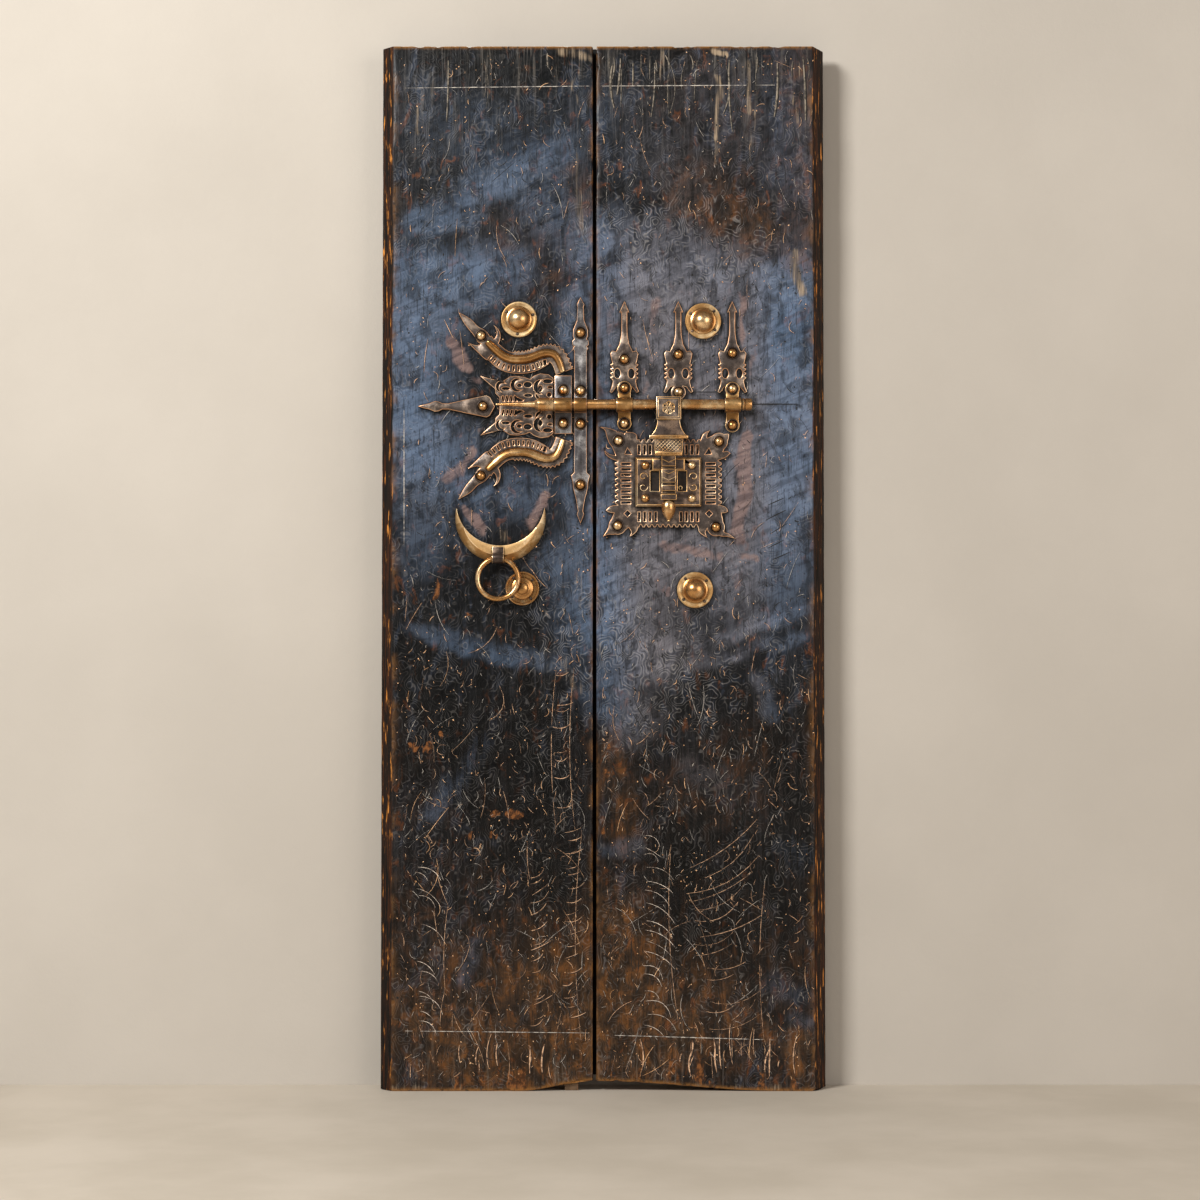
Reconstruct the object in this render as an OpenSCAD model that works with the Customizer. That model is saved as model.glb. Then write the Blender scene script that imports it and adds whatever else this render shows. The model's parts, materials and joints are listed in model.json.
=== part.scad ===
// Old double-leaf plank door with a sliding bolt, hasp and lock, in millimetres.
// The front faces -Y, +X is to the right, +Z is up, and the door stands on Z = 0.
// Fittings are placed by u, across from the meeting line, v, up from the bolt's axis,
// and off, out from the front face of the leaves.

/* [Leaves] */
// Height of both leaves
leaf_h = 2000; // [1900:5:2200]
// Width of the left leaf
left_w = 406; // [390:1:460]
// Width of the right leaf
right_w = 440; // [420:1:500]
// Gap between the two leaves
meeting_gap = 6; // [2:0.5:10]
// Thickness of a leaf
leaf_t = 50; // [44:1:60]
// Width of the left heel bevel on the front
left_bevel_w = 20; // [10:1:26]
// Depth of the left heel bevel along the edge
left_bevel_d = 22; // [10:1:40]
// Width of the right heel bevel on the front
right_bevel_w = 22; // [10:1:26]
// Depth of the right heel bevel along the edge
right_bevel_d = 42; // [10:1:43]
// Height worn off the left leaf's bottom edge at the meeting line
left_wear = 20; // [5:1:30]
// Length of the worn stretch of the left leaf
left_wear_len = 140; // [80:5:240]
// Height worn off the right leaf's bottom edge at the meeting line
right_wear = 19; // [5:1:30]
// Length of the worn stretch of the right leaf
right_wear_len = 350; // [200:5:380]
// Width of the foot peg
peg_w = 26; // [20:1:30]
// Distance of the foot peg's middle from the meeting line
peg_u = 44; // [35:1:60]
// Depth of the foot peg
peg_d = 30; // [20:1:40]

/* [Pivots and ledges] */
// Radius of the pivot sockets in the heel ends
pivot_r = 9; // [6:0.5:9]
// Depth of the pivot sockets
pivot_depth = 40; // [25:1:60]
// Distance of the pivot sockets from the heel edge
pivot_inset = 34; // [26:1:45]
// Height of a back ledge
ledge_h = 95; // [70:1:120]
// Thickness of a back ledge
ledge_t = 26; // [18:1:32]
// Distance of the end ledges' middles from the top and bottom
ledge_end = 190; // [150:5:260]
// Distance of the ledges from the leaf's side edges
ledge_inset = 34; // [20:1:50]

/* [Bolt] */
// Height of the bolt's axis
bolt_z = 1306; // [1200:1:1350]
// Distance of the bolt's axis from the front face
bolt_off = 26; // [25:0.5:30]
// Radius of the bolt
bolt_r = 9.7; // [8.5:0.1:10.5]
// Running clearance round the bolt
run_clear = 0.08; // [0.05:0.01:0.1]
// Left end of the bolt
bolt_left_u = -81.5; // [-84:0.5:-79]
// Radius of the bolt's neck inside the hasp
neck_r = 8.2; // [6.5:0.1:8.4]
// Radius of the bolt's end collar
end_r = 11.6; // [10.8:0.1:14]
// Length of the bolt's end collar
end_len = 19; // [12:0.5:26]
// Thickness of the bands over the bolt
band_t = 3; // [2:0.1:3.5]

/* [Plates and rivets] */
// Thickness of the iron plates
plate_t = 3; // [2:0.1:3.6]
// Radius of a rivet's dome
dome_r = 8.5; // [6:0.1:9]
// Height of a rivet's dome
dome_h = 6; // [4:0.1:6.4]
// Radius of a rose washer
washer_r = 12; // [9.5:0.1:12.2]
// Thickness of a rose washer
washer_t = 2; // [1:0.1:2.4]
// Radius of a rivet's shank
shank_r = 3; // [2:0.1:3.4]
// Depth of a rivet's shank in the wood
shank_depth = 24; // [12:1:30]
// Clearance round a shank
shank_clear = 0.1; // [0.05:0.01:0.2]

/* [Bosses] */
// Radius of a boss flange
boss_r = 34.5; // [30:0.5:36]
// Thickness of a boss flange
boss_t = 2.5; // [1.5:0.1:4]
// Radius of a boss dome
boss_dome_r = 22; // [16:0.5:23]
// Radius of the knocker boss flange
knock_r = 32; // [28:0.5:33]
// Height of the knocker boss
knock_h = 16.2; // [14:0.1:16.4]
// Radius of the nail circle in the flanges
nail_circle = 28.5; // [27:0.1:29]
// Radius of the nail circle in the knocker boss
knock_circle = 25; // [24:0.1:26]
// Radius of a flange nail's head
nail_head_r = 2.6; // [1.8:0.1:3]
// Depth of a flange nail in the wood
nail_depth = 14; // [8:1:24]

/* [Spear plates] */
// First spear plate, from the meeting line
spear_u = 57; // [54:0.5:60]
// Spacing of the spear plates
spear_pitch = 103.4; // [100:0.2:106]
// Height of the spear tips above the bolt
spear_tip = 201; // [185:1:230]
// Half width of a spear plate at its feet
spear_half = 28; // [26:0.5:30]
// Width of a staple's band
staple_w = 30; // [24:0.5:32]

/* [Lock] */
// Middle of the hasp and the lock, from the meeting line
lock_u = 141; // [138:0.5:144]
// Height of the lock's middle below the bolt
lock_drop = 147; // [145:0.5:150]
// Half width of the lock back plate
back_half_w = 102; // [98:0.5:106]
// Half height of the lock back plate
back_half_h = 84.2; // [82:0.1:86]
// Half width of the lock case
case_half_w = 62.5; // [58:0.5:64]
// Half height of the lock case
case_half_h = 47; // [45:0.5:49]
// Thickness of the lock case
case_h = 12; // [11:0.5:13]
// Gap between the case and the hasp's arm at rest
arm_gap = 9; // [8.6:0.1:11]
// Half width of the hasp's eye block
eye_half_w = 23.5; // [20:0.5:25]
// Thickness of the hasp's arm
arm_t = 10; // [7:0.5:10]
// Half width of the hasp's arm
arm_half_w = 13.5; // [11:0.5:15]
// Radius of the acorn knob
acorn_r = 13.5; // [10:0.5:14]

/* [Ring pull] */
// Middle of the crescent, left of the meeting line
crescent_u = -180; // [-184:0.5:-176]
// Height of the crescent's middle below the bolt
crescent_drop = 214.4; // [212:0.2:220]
// Radius of the crescent at the wood
crescent_r = 86.7; // [84:0.1:89]
// Radius of the crescent's front face
crescent_face_r = 72.3; // [68:0.1:74]
// Thickness of the crescent
crescent_t = 14; // [12:0.2:14.4]
// Radius of the crescent's inner curve
crescent_in_r = 84.8; // [80:0.1:86]
// Radius of the ring, at the middle of its section
ring_r = 38.5; // [34:0.5:42]
// Radius of the ring's section
ring_wire_r = 5; // [4:0.1:5.2]
// Radius of the ring staple's eye
ring_eye_r = 7.2; // [7:0.1:7.6]
// Width of the ring staple
ring_staple_w = 22; // [16:0.5:24]

/* [Hidden] */
$fn = 48;
total_w = left_w + meeting_gap + right_w;
left_x = -total_w / 2;
right_x = total_w / 2;
left_meet = left_x + left_w;
right_meet = right_x - right_w;
meet_x = (left_meet + right_meet) / 2;
eye_front = 13;
eye_back = 10;
proud = bolt_off + eye_front;
face_y = proud - (proud + leaf_t + ledge_t) / 2;
back_y = face_y + leaf_t;
wear_steps = 10;

// Rivets: u, v and how far their washers lie from the face
spear_top_v = [89, 98, 101];
spear_low_v = [33.5, 26, 32];
spear_us = [for (i = [0 : 2]) spear_u + i * spear_pitch];
staple_low_v = [-34, -37.4];
serpent_rivet = [-217.5, 134.4];
spear_rivet = [-214, -1.5];
short_u0 = -76.5;
short_w = 33;
short_rivets = [[-60, 30], [-60, -34]];
long_u = -27;
long_w = 24;
long_rivets = [[long_u, 140], [long_u, 29], [long_u, -35], [long_u, -152]];
left_rivet_list = concat(
    [[serpent_rivet.x, serpent_rivet.y, plate_t]],
    [[serpent_rivet.x, -serpent_rivet.y, plate_t]],
    [[spear_rivet.x, spear_rivet.y, 2 * plate_t]],
    [for (p = concat(short_rivets, long_rivets)) [p.x, p.y, plate_t]]);
back_ears = [[-95.5, 80], [97, 78], [-97, -83], [91, -86]];
ear_signs = [[-1, 1], [1, 1], [-1, -1], [1, -1]];
right_rivet_list = concat(
    [for (i = [0 : 2]) [spear_us[i], spear_top_v[i], plate_t]],
    [for (i = [0 : 2]) [spear_us[i], spear_low_v[i], i == 1 ? plate_t : 2 * plate_t]],
    [for (i = [0 : 1]) [spear_us[2 * i], staple_low_v[i], plate_t]],
    [for (e = back_ears) [lock_u + e.x, -lock_drop + e.y, plate_t]]);
case_front = plate_t + case_h;
case_rivet = [44.5, 31.5];
case_rivet_list = [for (s = ear_signs)
    [lock_u + s.x * case_rivet.x, -lock_drop + s.y * case_rivet.y, case_front]];
case_dome_r = 8;

// Bosses: u and v of their middles, radius of their nail circles and angles of their nails
boss_ul = [-145, 166, nail_circle, [19, 148, 264]];
boss_ur = [208, 163, nail_circle, [42, 149, 223, 323]];
boss_lr = [192, -353, nail_circle, [40, 130, 220, 310]];
boss_knock = [-138, -350, knock_circle, [40, 130, 220, 310]];
nail_shank_r = 1.3;

// Hasp and lock
hole_r = shank_r + shank_clear;
arm_back = case_front + arm_gap;
arm_top_v = -98;
arm_foot_v = -183;
staple_v = -135;
staple_half_h = 7;
staple_half_w = 3;
staple_stop = 0.5;
hasp_side_clear = 0.2;
bolt_end_u = spear_us[2] + staple_w / 2 + 2;
arch_in = bolt_r + run_clear;
arch_out = arch_in + band_t;

// Ring pull
ring_u = -184;
ring_off = crescent_t + 8;
ring_seat = 0.3;
ring_sag = ring_r - sqrt(ring_r * ring_r - pow(ring_staple_w / 2, 2));
ring_hang = 79;
ring_pivot_v = -crescent_drop - ring_hang;
ring_v = ring_pivot_v - (ring_eye_r - ring_wire_r - ring_sag - ring_seat) - ring_r;

iron = "dimgray";
brass = "darkgoldenrod";
lacquer = [0.17, 0.18, 0.21];
raw_wood = [0.36, 0.25, 0.15];

// Points of curves and of rows that follow them

function dir(a) = [cos(a), sin(a)];

function arc(c, r, a0, a1, n = 10) = [for (i = [0 : n]) c + r * dir(a0 + (a1 - a0) * i / n)];

function oval(c, a, b, n = 18) = [for (i = [0 : n - 1]) c + [a * cos(360 * i / n), b * sin(360 * i / n)]];

// A point on the smooth curve through the list p, between points i and i + 1
function along(p, i, t) =
    let (a = p[max(i - 1, 0)], b = p[i], c = p[i + 1], d = p[min(i + 2, len(p) - 1)])
    0.5 * (2 * b + (c - a) * t + (2 * a - 5 * b + 4 * c - d) * t * t + (3 * b - a - 3 * c + d) * t * t * t);

function smooth(p, n) = concat([for (i = [0 : len(p) - 2]) for (k = [0 : n - 1]) along(p, i, k / n)],
    [p[len(p) - 1]]);

// Unit normal to the left of a list of points at point i
function normal(p, i) =
    let (d = p[min(i + 1, len(p) - 1)] - p[max(i - 1, 0)])
    [-d.y, d.x] / norm(d);

// A hook that narrows to a point along an arc
function hook(c, r, a0, a1, w, n = 8) = concat(
    [for (i = [0 : n]) c + (r + w * (1 - i / n) / 2) * dir(a0 + (a1 - a0) * i / n)],
    [for (i = [n - 1 : -1 : 0]) c + (r - w * (1 - i / n) / 2) * dir(a0 + (a1 - a0) * i / n)]);

// A curved leaf-shaped opening along an arc, pointed at both ends
function scroll(c, r, a0, a1, w, n = 8) = concat(
    [for (i = [0 : n]) c + (r + w * sin(180 * i / n) / 2) * dir(a0 + (a1 - a0) * i / n)],
    [for (i = [n - 1 : -1 : 1]) c + (r - w * sin(180 * i / n) / 2) * dir(a0 + (a1 - a0) * i / n)]);

// A pointed blade: one edge out to the tip, and the other edge back from it
function blade(out, back, n = 4) =
    let (a = smooth(out, n), b = smooth(back, n))
    concat(a, [for (i = [1 : len(b) - 1]) b[i]]);

// Points turned over across u, v or both
function flip(points, s) = [for (p = points) [p.x * s.x, p.y * s.y]];

// A closed outline from its right half, listed from top to bottom
function both_sides(half) = concat(half, [for (i = [len(half) - 2 : -1 : 1]) [-half[i].x, half[i].y]]);

// How far the bottom edge is worn up, a distance d from the meeting edge
function worn(d, rise, len) =
    let (t = max(0, 1 - d / len))
    rise * t * t * (3 - 2 * t);

// Placing of outlines and turned pieces

// A front-view outline (u, v), t thick, with its back off the face
module front(off, t) {
    translate([meet_x, face_y - off, bolt_z])
        rotate([90, 0, 0])
            linear_extrude(t)
                children();
}

// Several front-view outlines, each t thick, joined as one piece
module joined(off, t) {
    for (i = [0 : $children - 1])
        front(off, t)
            children(i);
}

// A side-view outline (off, v) drawn out along the door's width
module across(u, w) {
    translate([meet_x + u + w, face_y, bolt_z])
        rotate([90, 0, -90])
            linear_extrude(w)
                children();
}

// A top-view outline (u, off) drawn upwards
module upright(v, h) {
    translate([meet_x, face_y, bolt_z + v])
        mirror([0, 1, 0])
            linear_extrude(h)
                children();
}

// A turned piece whose axis stands out of the front
module at_face(u, v, off = 0) {
    translate([meet_x + u, face_y - off, bolt_z + v])
        rotate([90, 0, 0])
            children();
}

// A turned piece along the bolt's axis, from u to the right
module on_bolt(u) {
    translate([meet_x + u, face_y - bolt_off, bolt_z])
        rotate([0, 90, 0])
            children();
}

module holes_at(points, r) {
    for (p = points)
        translate([p.x, p.y])
            circle(r = r);
}

// Leaves and what is behind them

ledge_zs = [ledge_end, leaf_h / 2, leaf_h - ledge_end];
ledge_nail_r = 2.5;
ledge_nail_head = 7;
ledge_nail_depth = 18;
ledge_nail_side = 32;
ledge_nail_rise = 24;

module shank_holes(list) {
    for (p = list)
        at_face(p.x, p.y, -shank_depth - 1)
            cylinder(r = hole_r, h = shank_depth + 2);
}

module nail_places(boss) {
    for (a = boss[3])
        at_face(boss.x + boss.z * cos(a), boss.y + boss.z * sin(a))
            children();
}

module nail_holes(boss) {
    nail_places(boss)
        translate([0, 0, -nail_depth - 1])
            cylinder(r = nail_shank_r + shank_clear, h = nail_depth + boss_t + 2);
}

module ledge_nail_places(x0, x1) {
    for (z = ledge_zs, x = [x0 + ledge_nail_side, x1 - ledge_nail_side], s = [-1, 1])
        translate([x, back_y, z + s * ledge_nail_rise])
            rotate([-90, 0, 0])
                children();
}

module pivot_sockets(x) {
    for (z = [-1, leaf_h - pivot_depth])
        translate([x, face_y + leaf_t / 2, z])
            cylinder(r = pivot_r, h = pivot_depth + 1);
}

left_ledge_x = [left_x + ledge_inset + left_bevel_w, left_meet - ledge_inset];
right_ledge_x = [right_meet + ledge_inset, right_x - ledge_inset - right_bevel_w];
peg_dowel_r = 6;
peg_dowel_h = 26;
peg_seat = 0.2;

module left_leaf() {
    color(lacquer)
        difference() {
            translate([0, back_y, 0])
                rotate([90, 0, 0])
                    linear_extrude(leaf_t)
                        polygon(concat([[left_x, leaf_h], [left_x, 0]],
                            [for (i = [wear_steps : -1 : 0])
                                let (d = left_wear_len * i / wear_steps)
                                [left_meet - d, worn(d, left_wear, left_wear_len)]],
                            [[left_meet, leaf_h]]));
            linear_extrude(3 * leaf_h, center = true)
                polygon([[left_x - 1, face_y - 1], [left_x + left_bevel_w, face_y - 1],
                    [left_x + left_bevel_w, face_y], [left_x, face_y + left_bevel_d],
                    [left_x - 1, face_y + left_bevel_d]]);
            pivot_sockets(left_x + pivot_inset);
            shank_holes(left_rivet_list);
            nail_holes(boss_ul);
            nail_holes(boss_knock);
            ledge_nail_places(left_ledge_x[0], left_ledge_x[1])
                translate([0, 0, -ledge_nail_depth - 1])
                    cylinder(r = ledge_nail_r + shank_clear, h = ledge_nail_depth + 2);
            translate([meet_x - peg_u, face_y + leaf_t / 2, 0])
                cylinder(r = peg_dowel_r + shank_clear, h = left_wear + peg_dowel_h + 1);
        }
}

// Shallow groove beyond the bolt's end, and the sunk strip above the bolt
groove_len = 92;
groove_h = 13;
groove_depth = 3;
groove_gap = 2;
strip_depth = 2;

module right_leaf() {
    color(lacquer)
        difference() {
            translate([0, back_y, 0])
                rotate([90, 0, 0])
                    linear_extrude(leaf_t)
                        polygon(concat([[right_x, 0], [right_x, leaf_h], [right_meet, leaf_h]],
                            [for (i = [0 : wear_steps])
                                let (d = right_wear_len * i / wear_steps)
                                [right_meet + d, worn(d, right_wear, right_wear_len)]]));
            linear_extrude(3 * leaf_h, center = true)
                polygon([[right_x + 1, face_y - 1], [right_x - right_bevel_w, face_y - 1],
                    [right_x - right_bevel_w, face_y], [right_x, face_y + right_bevel_d],
                    [right_x + 1, face_y + right_bevel_d]]);
            pivot_sockets(right_x - pivot_inset);
            shank_holes(concat(right_rivet_list, case_rivet_list));
            nail_holes(boss_ur);
            nail_holes(boss_lr);
            ledge_nail_places(right_ledge_x[0], right_ledge_x[1])
                translate([0, 0, -ledge_nail_depth - 1])
                    cylinder(r = ledge_nail_r + shank_clear, h = ledge_nail_depth + 2);
            front(-groove_depth, groove_depth + 1)
                translate([bolt_end_u + end_len + groove_gap, -groove_h + 2])
                    square([groove_len, groove_h]);
            front(-strip_depth, strip_depth + 1)
                translate([spear_us[1] + spear_half, bolt_r + 3])
                    square([spear_pitch - 2 * spear_half, bolt_r + 3]);
        }
}

module foot_peg() {
    d0 = peg_u - meeting_gap / 2 + peg_w / 2;
    d1 = peg_u - meeting_gap / 2 - peg_w / 2;
    color(raw_wood) {
        translate([0, face_y + leaf_t / 2 + peg_d / 2, 0])
            rotate([90, 0, 0])
                linear_extrude(peg_d)
                    polygon([[left_meet - d0, 0], [left_meet - d1, 0],
                        [left_meet - d1, worn(d1, left_wear, left_wear_len) - peg_seat],
                        [left_meet - d0, worn(d0, left_wear, left_wear_len) - peg_seat]]);
        translate([meet_x - peg_u, face_y + leaf_t / 2, 1])
            cylinder(r = peg_dowel_r, h = left_wear + peg_dowel_h - 1);
    }
}

// A ledge has its long edges cut back at a slope
module ledges(xs) {
    slope = ledge_t / 2;
    color(raw_wood)
        difference() {
            for (z = ledge_zs)
                translate([xs[0], back_y, z])
                    rotate([90, 0, 90])
                        linear_extrude(xs[1] - xs[0])
                            polygon([[0, -ledge_h / 2], [slope, -ledge_h / 2],
                                [ledge_t, -ledge_h / 2 + slope], [ledge_t, ledge_h / 2 - slope],
                                [slope, ledge_h / 2], [0, ledge_h / 2]]);
            ledge_nail_places(xs[0], xs[1])
                translate([0, 0, -1])
                    cylinder(r = ledge_nail_r + shank_clear, h = ledge_t + 2);
            ledge_nail_places(xs[0], xs[1])
                translate([0, 0, ledge_t - 2])
                    cylinder(r = ledge_nail_head + shank_clear, h = 4);
        }
}

module left_ledges() {
    ledges(left_ledge_x);
}

module right_ledges() {
    ledges(right_ledge_x);
}

module ledge_nails() {
    color(iron)
        for (xs = [left_ledge_x, right_ledge_x])
            ledge_nail_places(xs[0], xs[1]) {
                translate([0, 0, -ledge_nail_depth])
                    cylinder(r = ledge_nail_r, h = ledge_nail_depth + ledge_t - 1);
                translate([0, 0, ledge_t - 2])
                    cylinder(r1 = ledge_nail_head, r2 = ledge_nail_head - 2, h = 2);
            }
}

// Bosses

module domed_boss(p) {
    dome_base = boss_dome_r + 3;
    color(brass)
        difference() {
            at_face(p.x, p.y)
                union() {
                    cylinder(r = boss_r, h = boss_t - 1);
                    cylinder(r1 = boss_r, r2 = boss_r - 1.2, h = boss_t);
                    cylinder(r1 = dome_base, r2 = boss_dome_r, h = boss_t + 2);
                    intersection() {
                        sphere(r = boss_dome_r);
                        cylinder(r = boss_dome_r, h = boss_dome_r);
                    }
                }
            nail_holes(p);
        }
}

module upper_left_boss() {
    domed_boss(boss_ul);
}

module upper_right_boss() {
    domed_boss(boss_ur);
}

module lower_right_boss() {
    domed_boss(boss_lr);
}

// Rings of the knocker boss: radius, and share of its height
knock_steps = [[20, 0.38], [14.5, 0.62], [9, 0.78]];
knock_knob_r = 6;

module knocker_boss() {
    color(brass)
        difference() {
            at_face(boss_knock.x, boss_knock.y)
                union() {
                    difference() {
                        cylinder(r = knock_r, h = boss_t + 1.4);
                        translate([0, 0, boss_t])
                            cylinder(r = knock_r - 2.2, h = 3);
                    }
                    for (s = knock_steps)
                        cylinder(r1 = s[0], r2 = s[0] - 1.5, h = s[1] * knock_h);
                    translate([0, 0, knock_h - knock_knob_r])
                        sphere(r = knock_knob_r);
                }
            nail_holes(boss_knock);
        }
}

module boss_nails() {
    color(brass)
        for (boss = [boss_ul, boss_ur, boss_lr, boss_knock])
            nail_places(boss) {
                translate([0, 0, -nail_depth])
                    cylinder(r = nail_shank_r, h = nail_depth + boss_t + 0.5);
                translate([0, 0, boss_t])
                    cylinder(r1 = nail_head_r, r2 = nail_head_r * 0.6, h = 1.3);
            }
}

// Serpents: a curved body with a comb of teeth above and slits below, and a spear-shaped head

serpent_curve = smooth([[-208, 127], [-198, 115], [-168.5, 92], [-130, 89.5], [-96, 100.5],
    [-74, 95], [-61, 64]], 10);
serpent_n = len(serpent_curve) - 1;
comb_up = 13;
comb_flare = 6;
comb_down = 27;
tooth_from = 22;
tooth_h = 4;
slit_w = 3;
slit_from = 12.5;
slit_to = 22;

// Width of the comb above the body, flared round the tail, with its teeth
function comb_high(i) =
    comb_up + comb_flare * pow(i / serpent_n, 3) + ((i > tooth_from && i % 2 == 0) ? tooth_h : 0);

// Width of the comb below the body, narrow at both ends
function comb_low(i) = comb_down * (0.5 + 0.5 * sin(180 * min(1, i / serpent_n * 1.1)));

comb_edge = concat(
    [for (i = [0 : serpent_n]) serpent_curve[i] + comb_high(i) * normal(serpent_curve, i)],
    [for (i = [serpent_n : -1 : 0]) serpent_curve[i] - comb_low(i) * normal(serpent_curve, i)]);
head_tip = [-260.5, 179.6];
head_edge = blade([[-200, 133], [-209, 144], [-224, 153], [-238, 167], head_tip],
    [head_tip, [-254, 166], [-246, 153], [-232, 136], [-222, 121], [-206, 118]]);
horn_edge = hook([-205, 137], 21, -60, 58, 15);
jaw_tip = [-243, 121.5];
jaw_edge = blade([[-190, 101], [-206, 120], [-226, 116], jaw_tip],
    [jaw_tip, [-226, 105], [-207, 88], [-194, 92]]);

module comb_slits() {
    for (i = [14 : 2 : 40])
        let (c = serpent_curve[i], n = normal(serpent_curve, i), s = [n.y, -n.x] * slit_w / 2)
        polygon([c - n * slit_from + s, c - n * slit_from - s, c - n * slit_to - s, c - n * slit_to + s]);
}

module serpent_plate() {
    difference() {
        joined(0, plate_t) {
            polygon(comb_edge);
            polygon(head_edge);
            polygon(horn_edge);
            polygon(jaw_edge);
        }
        front(-1, plate_t + 2) {
            comb_slits();
            holes_at([serpent_rivet], hole_r);
        }
    }
}

// Section of a serpent's bar: across the body and out from the plate
bar_half_w = 9.5;
bar_h = 9;
bar_section = [[1, 0], [0.8, 0.62], [0.25, 1], [-0.45, 0.72], [-1, 0]];

// The bar swells from the head and narrows again at the tail
function bar_swell(i) = 0.35 + 0.65 * sqrt(max(0, sin(180 * min(1, 0.09 + 0.86 * (i - 4) / (serpent_n - 4)))));

module serpent_bar() {
    m = len(bar_section);
    first = 4;
    rows = [for (i = [first : 2 : serpent_n])
        let (c = serpent_curve[i], n = normal(serpent_curve, i), k = bar_swell(i))
        [for (s = bar_section)
            let (p = c + n * s[0] * bar_half_w * k)
            [meet_x + p.x, face_y - plate_t - s[1] * bar_h * k, bolt_z + p.y]]];
    last = len(rows) - 1;
    polyhedron(
        points = [for (r = rows) for (p = r) p],
        faces = concat(
            [for (i = [0 : last - 1]) for (k = [0 : m - 1])
                [i * m + k, (i + 1) * m + k, (i + 1) * m + (k + 1) % m, i * m + (k + 1) % m]],
            [[for (k = [0 : m - 1]) k], [for (k = [m - 1 : -1 : 0]) last * m + k]]));
}

// The lower serpent is the upper one turned over about the bolt's axis
module turned_over() {
    translate([0, 0, 2 * bolt_z])
        mirror([0, 0, 1])
            children();
}

module upper_serpent_plate() {
    color(iron)
        serpent_plate();
}

module lower_serpent_plate() {
    color(iron)
        turned_over()
            serpent_plate();
}

module upper_serpent_bar() {
    color(brass)
        serpent_bar();
}

module lower_serpent_bar() {
    color(brass)
        turned_over()
            serpent_bar();
}

// Foliage plate: the upper half of its outline and of its openings, repeated below

foliage_edge = [[-79, 53], [-88, 60], [-104, 62], [-117, 57], [-124, 51], [-134, 55],
    [-148, 57], [-162, 56], [-176, 47], [-196, 51], [-219, 57], [-202, 42], [-190, 32],
    [-190, 24], [-182, 16]];
foliage_scrolls = [[[-146, 40], 11.5, 60, 300, 7], [[-99, 36], 14, 100, 260, 8],
    [[-177, 36], 9.5, 50, 255, 6], [[-140, 24], 13.5, 200, 290, 5.5], [[-92, 30], 22, 195, 245, 5]];
foliage_ovals = [[[-128, 40.5], 8, 5.4], [[-90, 47], 9, 4.2], [[-85, 35.5], 4.8, 2], [[-87, 21], 4.2, 4.2],
    [[-170, 33], 8, 2.8], [[-144, 39], 4.6, 3.4], [[-127, 20], 8, 3.2], [[-104, 33], 4, 6]];
foliage_slits = [-176, -168, -160, -152];

module foliage_openings() {
    for (s = foliage_scrolls)
        polygon(scroll(s[0], s[1], s[2], s[3], s[4]));
    for (e = foliage_ovals)
        polygon(oval(e[0], e[1], e[2], 14));
    for (u = foliage_slits)
        polygon([[u, 8], [u + 3.5, 8], [u + 1, 19], [u - 2.5, 18]]);
}

module foliage_plate() {
    color(iron)
        front(0, plate_t)
            difference() {
                polygon(concat(foliage_edge,
                    [for (i = [len(foliage_edge) - 1 : -1 : 0]) [foliage_edge[i].x, -foliage_edge[i].y]]));
                foliage_openings();
                mirror([0, 1])
                    foliage_openings();
            }
}

// Left spear, twice the plates' thickness

module left_spear() {
    half = [[-338, 0], [-326, 3.5], [-315, 6], [-306, 10], [-298, 9], [-291, 5.5], [-280, 5.5],
        [-246, 13], [-207, 21], [-200, 17], [-191, 0]];
    color(iron)
        front(0, 2 * plate_t)
            translate([0, spear_rivet.y])
                difference() {
                    polygon(concat(half, flip([for (i = [len(half) - 2 : -1 : 1]) half[i]], [1, -1])));
                    holes_at([[spear_rivet.x, 0]], hole_r);
                }
}

// Bolt receiver: dart and collar on a foot that stands on the foliage plate

dart_u0 = -188;
dart_tip_r = 1.8;
dart_r = 6.2;
dart_flare = 7;
collar_u0 = -108;
collar_u1 = -77.8;
collar_wall = 2.9;
collar_step = 1.5;
receiver_stop = 1.5;
foot_half_h = 6;
foot_inset = 4;
foot_slope = 3;

module bolt_receiver() {
    collar_r = bolt_r + collar_wall;
    dart_len = collar_u0 - dart_u0;
    full_len = collar_u1 - dart_u0;
    foot_u = [collar_u0 + foot_inset, collar_u1 - foot_inset];
    color(brass)
        difference() {
            union() {
                on_bolt(dart_u0)
                    rotate_extrude()
                        polygon([[0, 0], [dart_tip_r, 0], [dart_r, dart_len - dart_flare],
                            [collar_r - collar_step, dart_len], [collar_r, dart_len], [collar_r, full_len],
                            [0, full_len]]);
                upright(-foot_half_h, 2 * foot_half_h)
                    polygon([[foot_u[0], plate_t], [foot_u[1], plate_t],
                        [foot_u[1] - foot_slope, bolt_off - bolt_r], [foot_u[1] - foot_slope, bolt_off],
                        [foot_u[0] + foot_slope, bolt_off], [foot_u[0] + foot_slope, bolt_off - bolt_r]]);
            }
            on_bolt(bolt_left_u - receiver_stop)
                cylinder(r = arch_in, h = 40);
        }
}

// Bands over the bolt

module arch(u, w) {
    across(u, w)
        difference() {
            union() {
                translate([bolt_off, 0])
                    circle(r = arch_out);
                translate([0, -arch_out])
                    square([bolt_off, 2 * arch_out]);
            }
            translate([bolt_off, 0])
                circle(r = arch_in);
            translate([-1, -arch_in])
                square([bolt_off + 1, 2 * arch_in]);
        }
}

short_top = 58;
short_foot = 54;

module short_keeper() {
    color(iron) {
        front(0, plate_t)
            difference() {
                translate([short_u0, -short_foot])
                    square([short_w, short_top + short_foot]);
                translate([short_u0 - 1, -arch_out + 1])
                    square([short_w + 2, 2 * arch_out - 2]);
                holes_at(short_rivets, hole_r);
            }
        arch(short_u0, short_w);
    }
}

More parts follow.
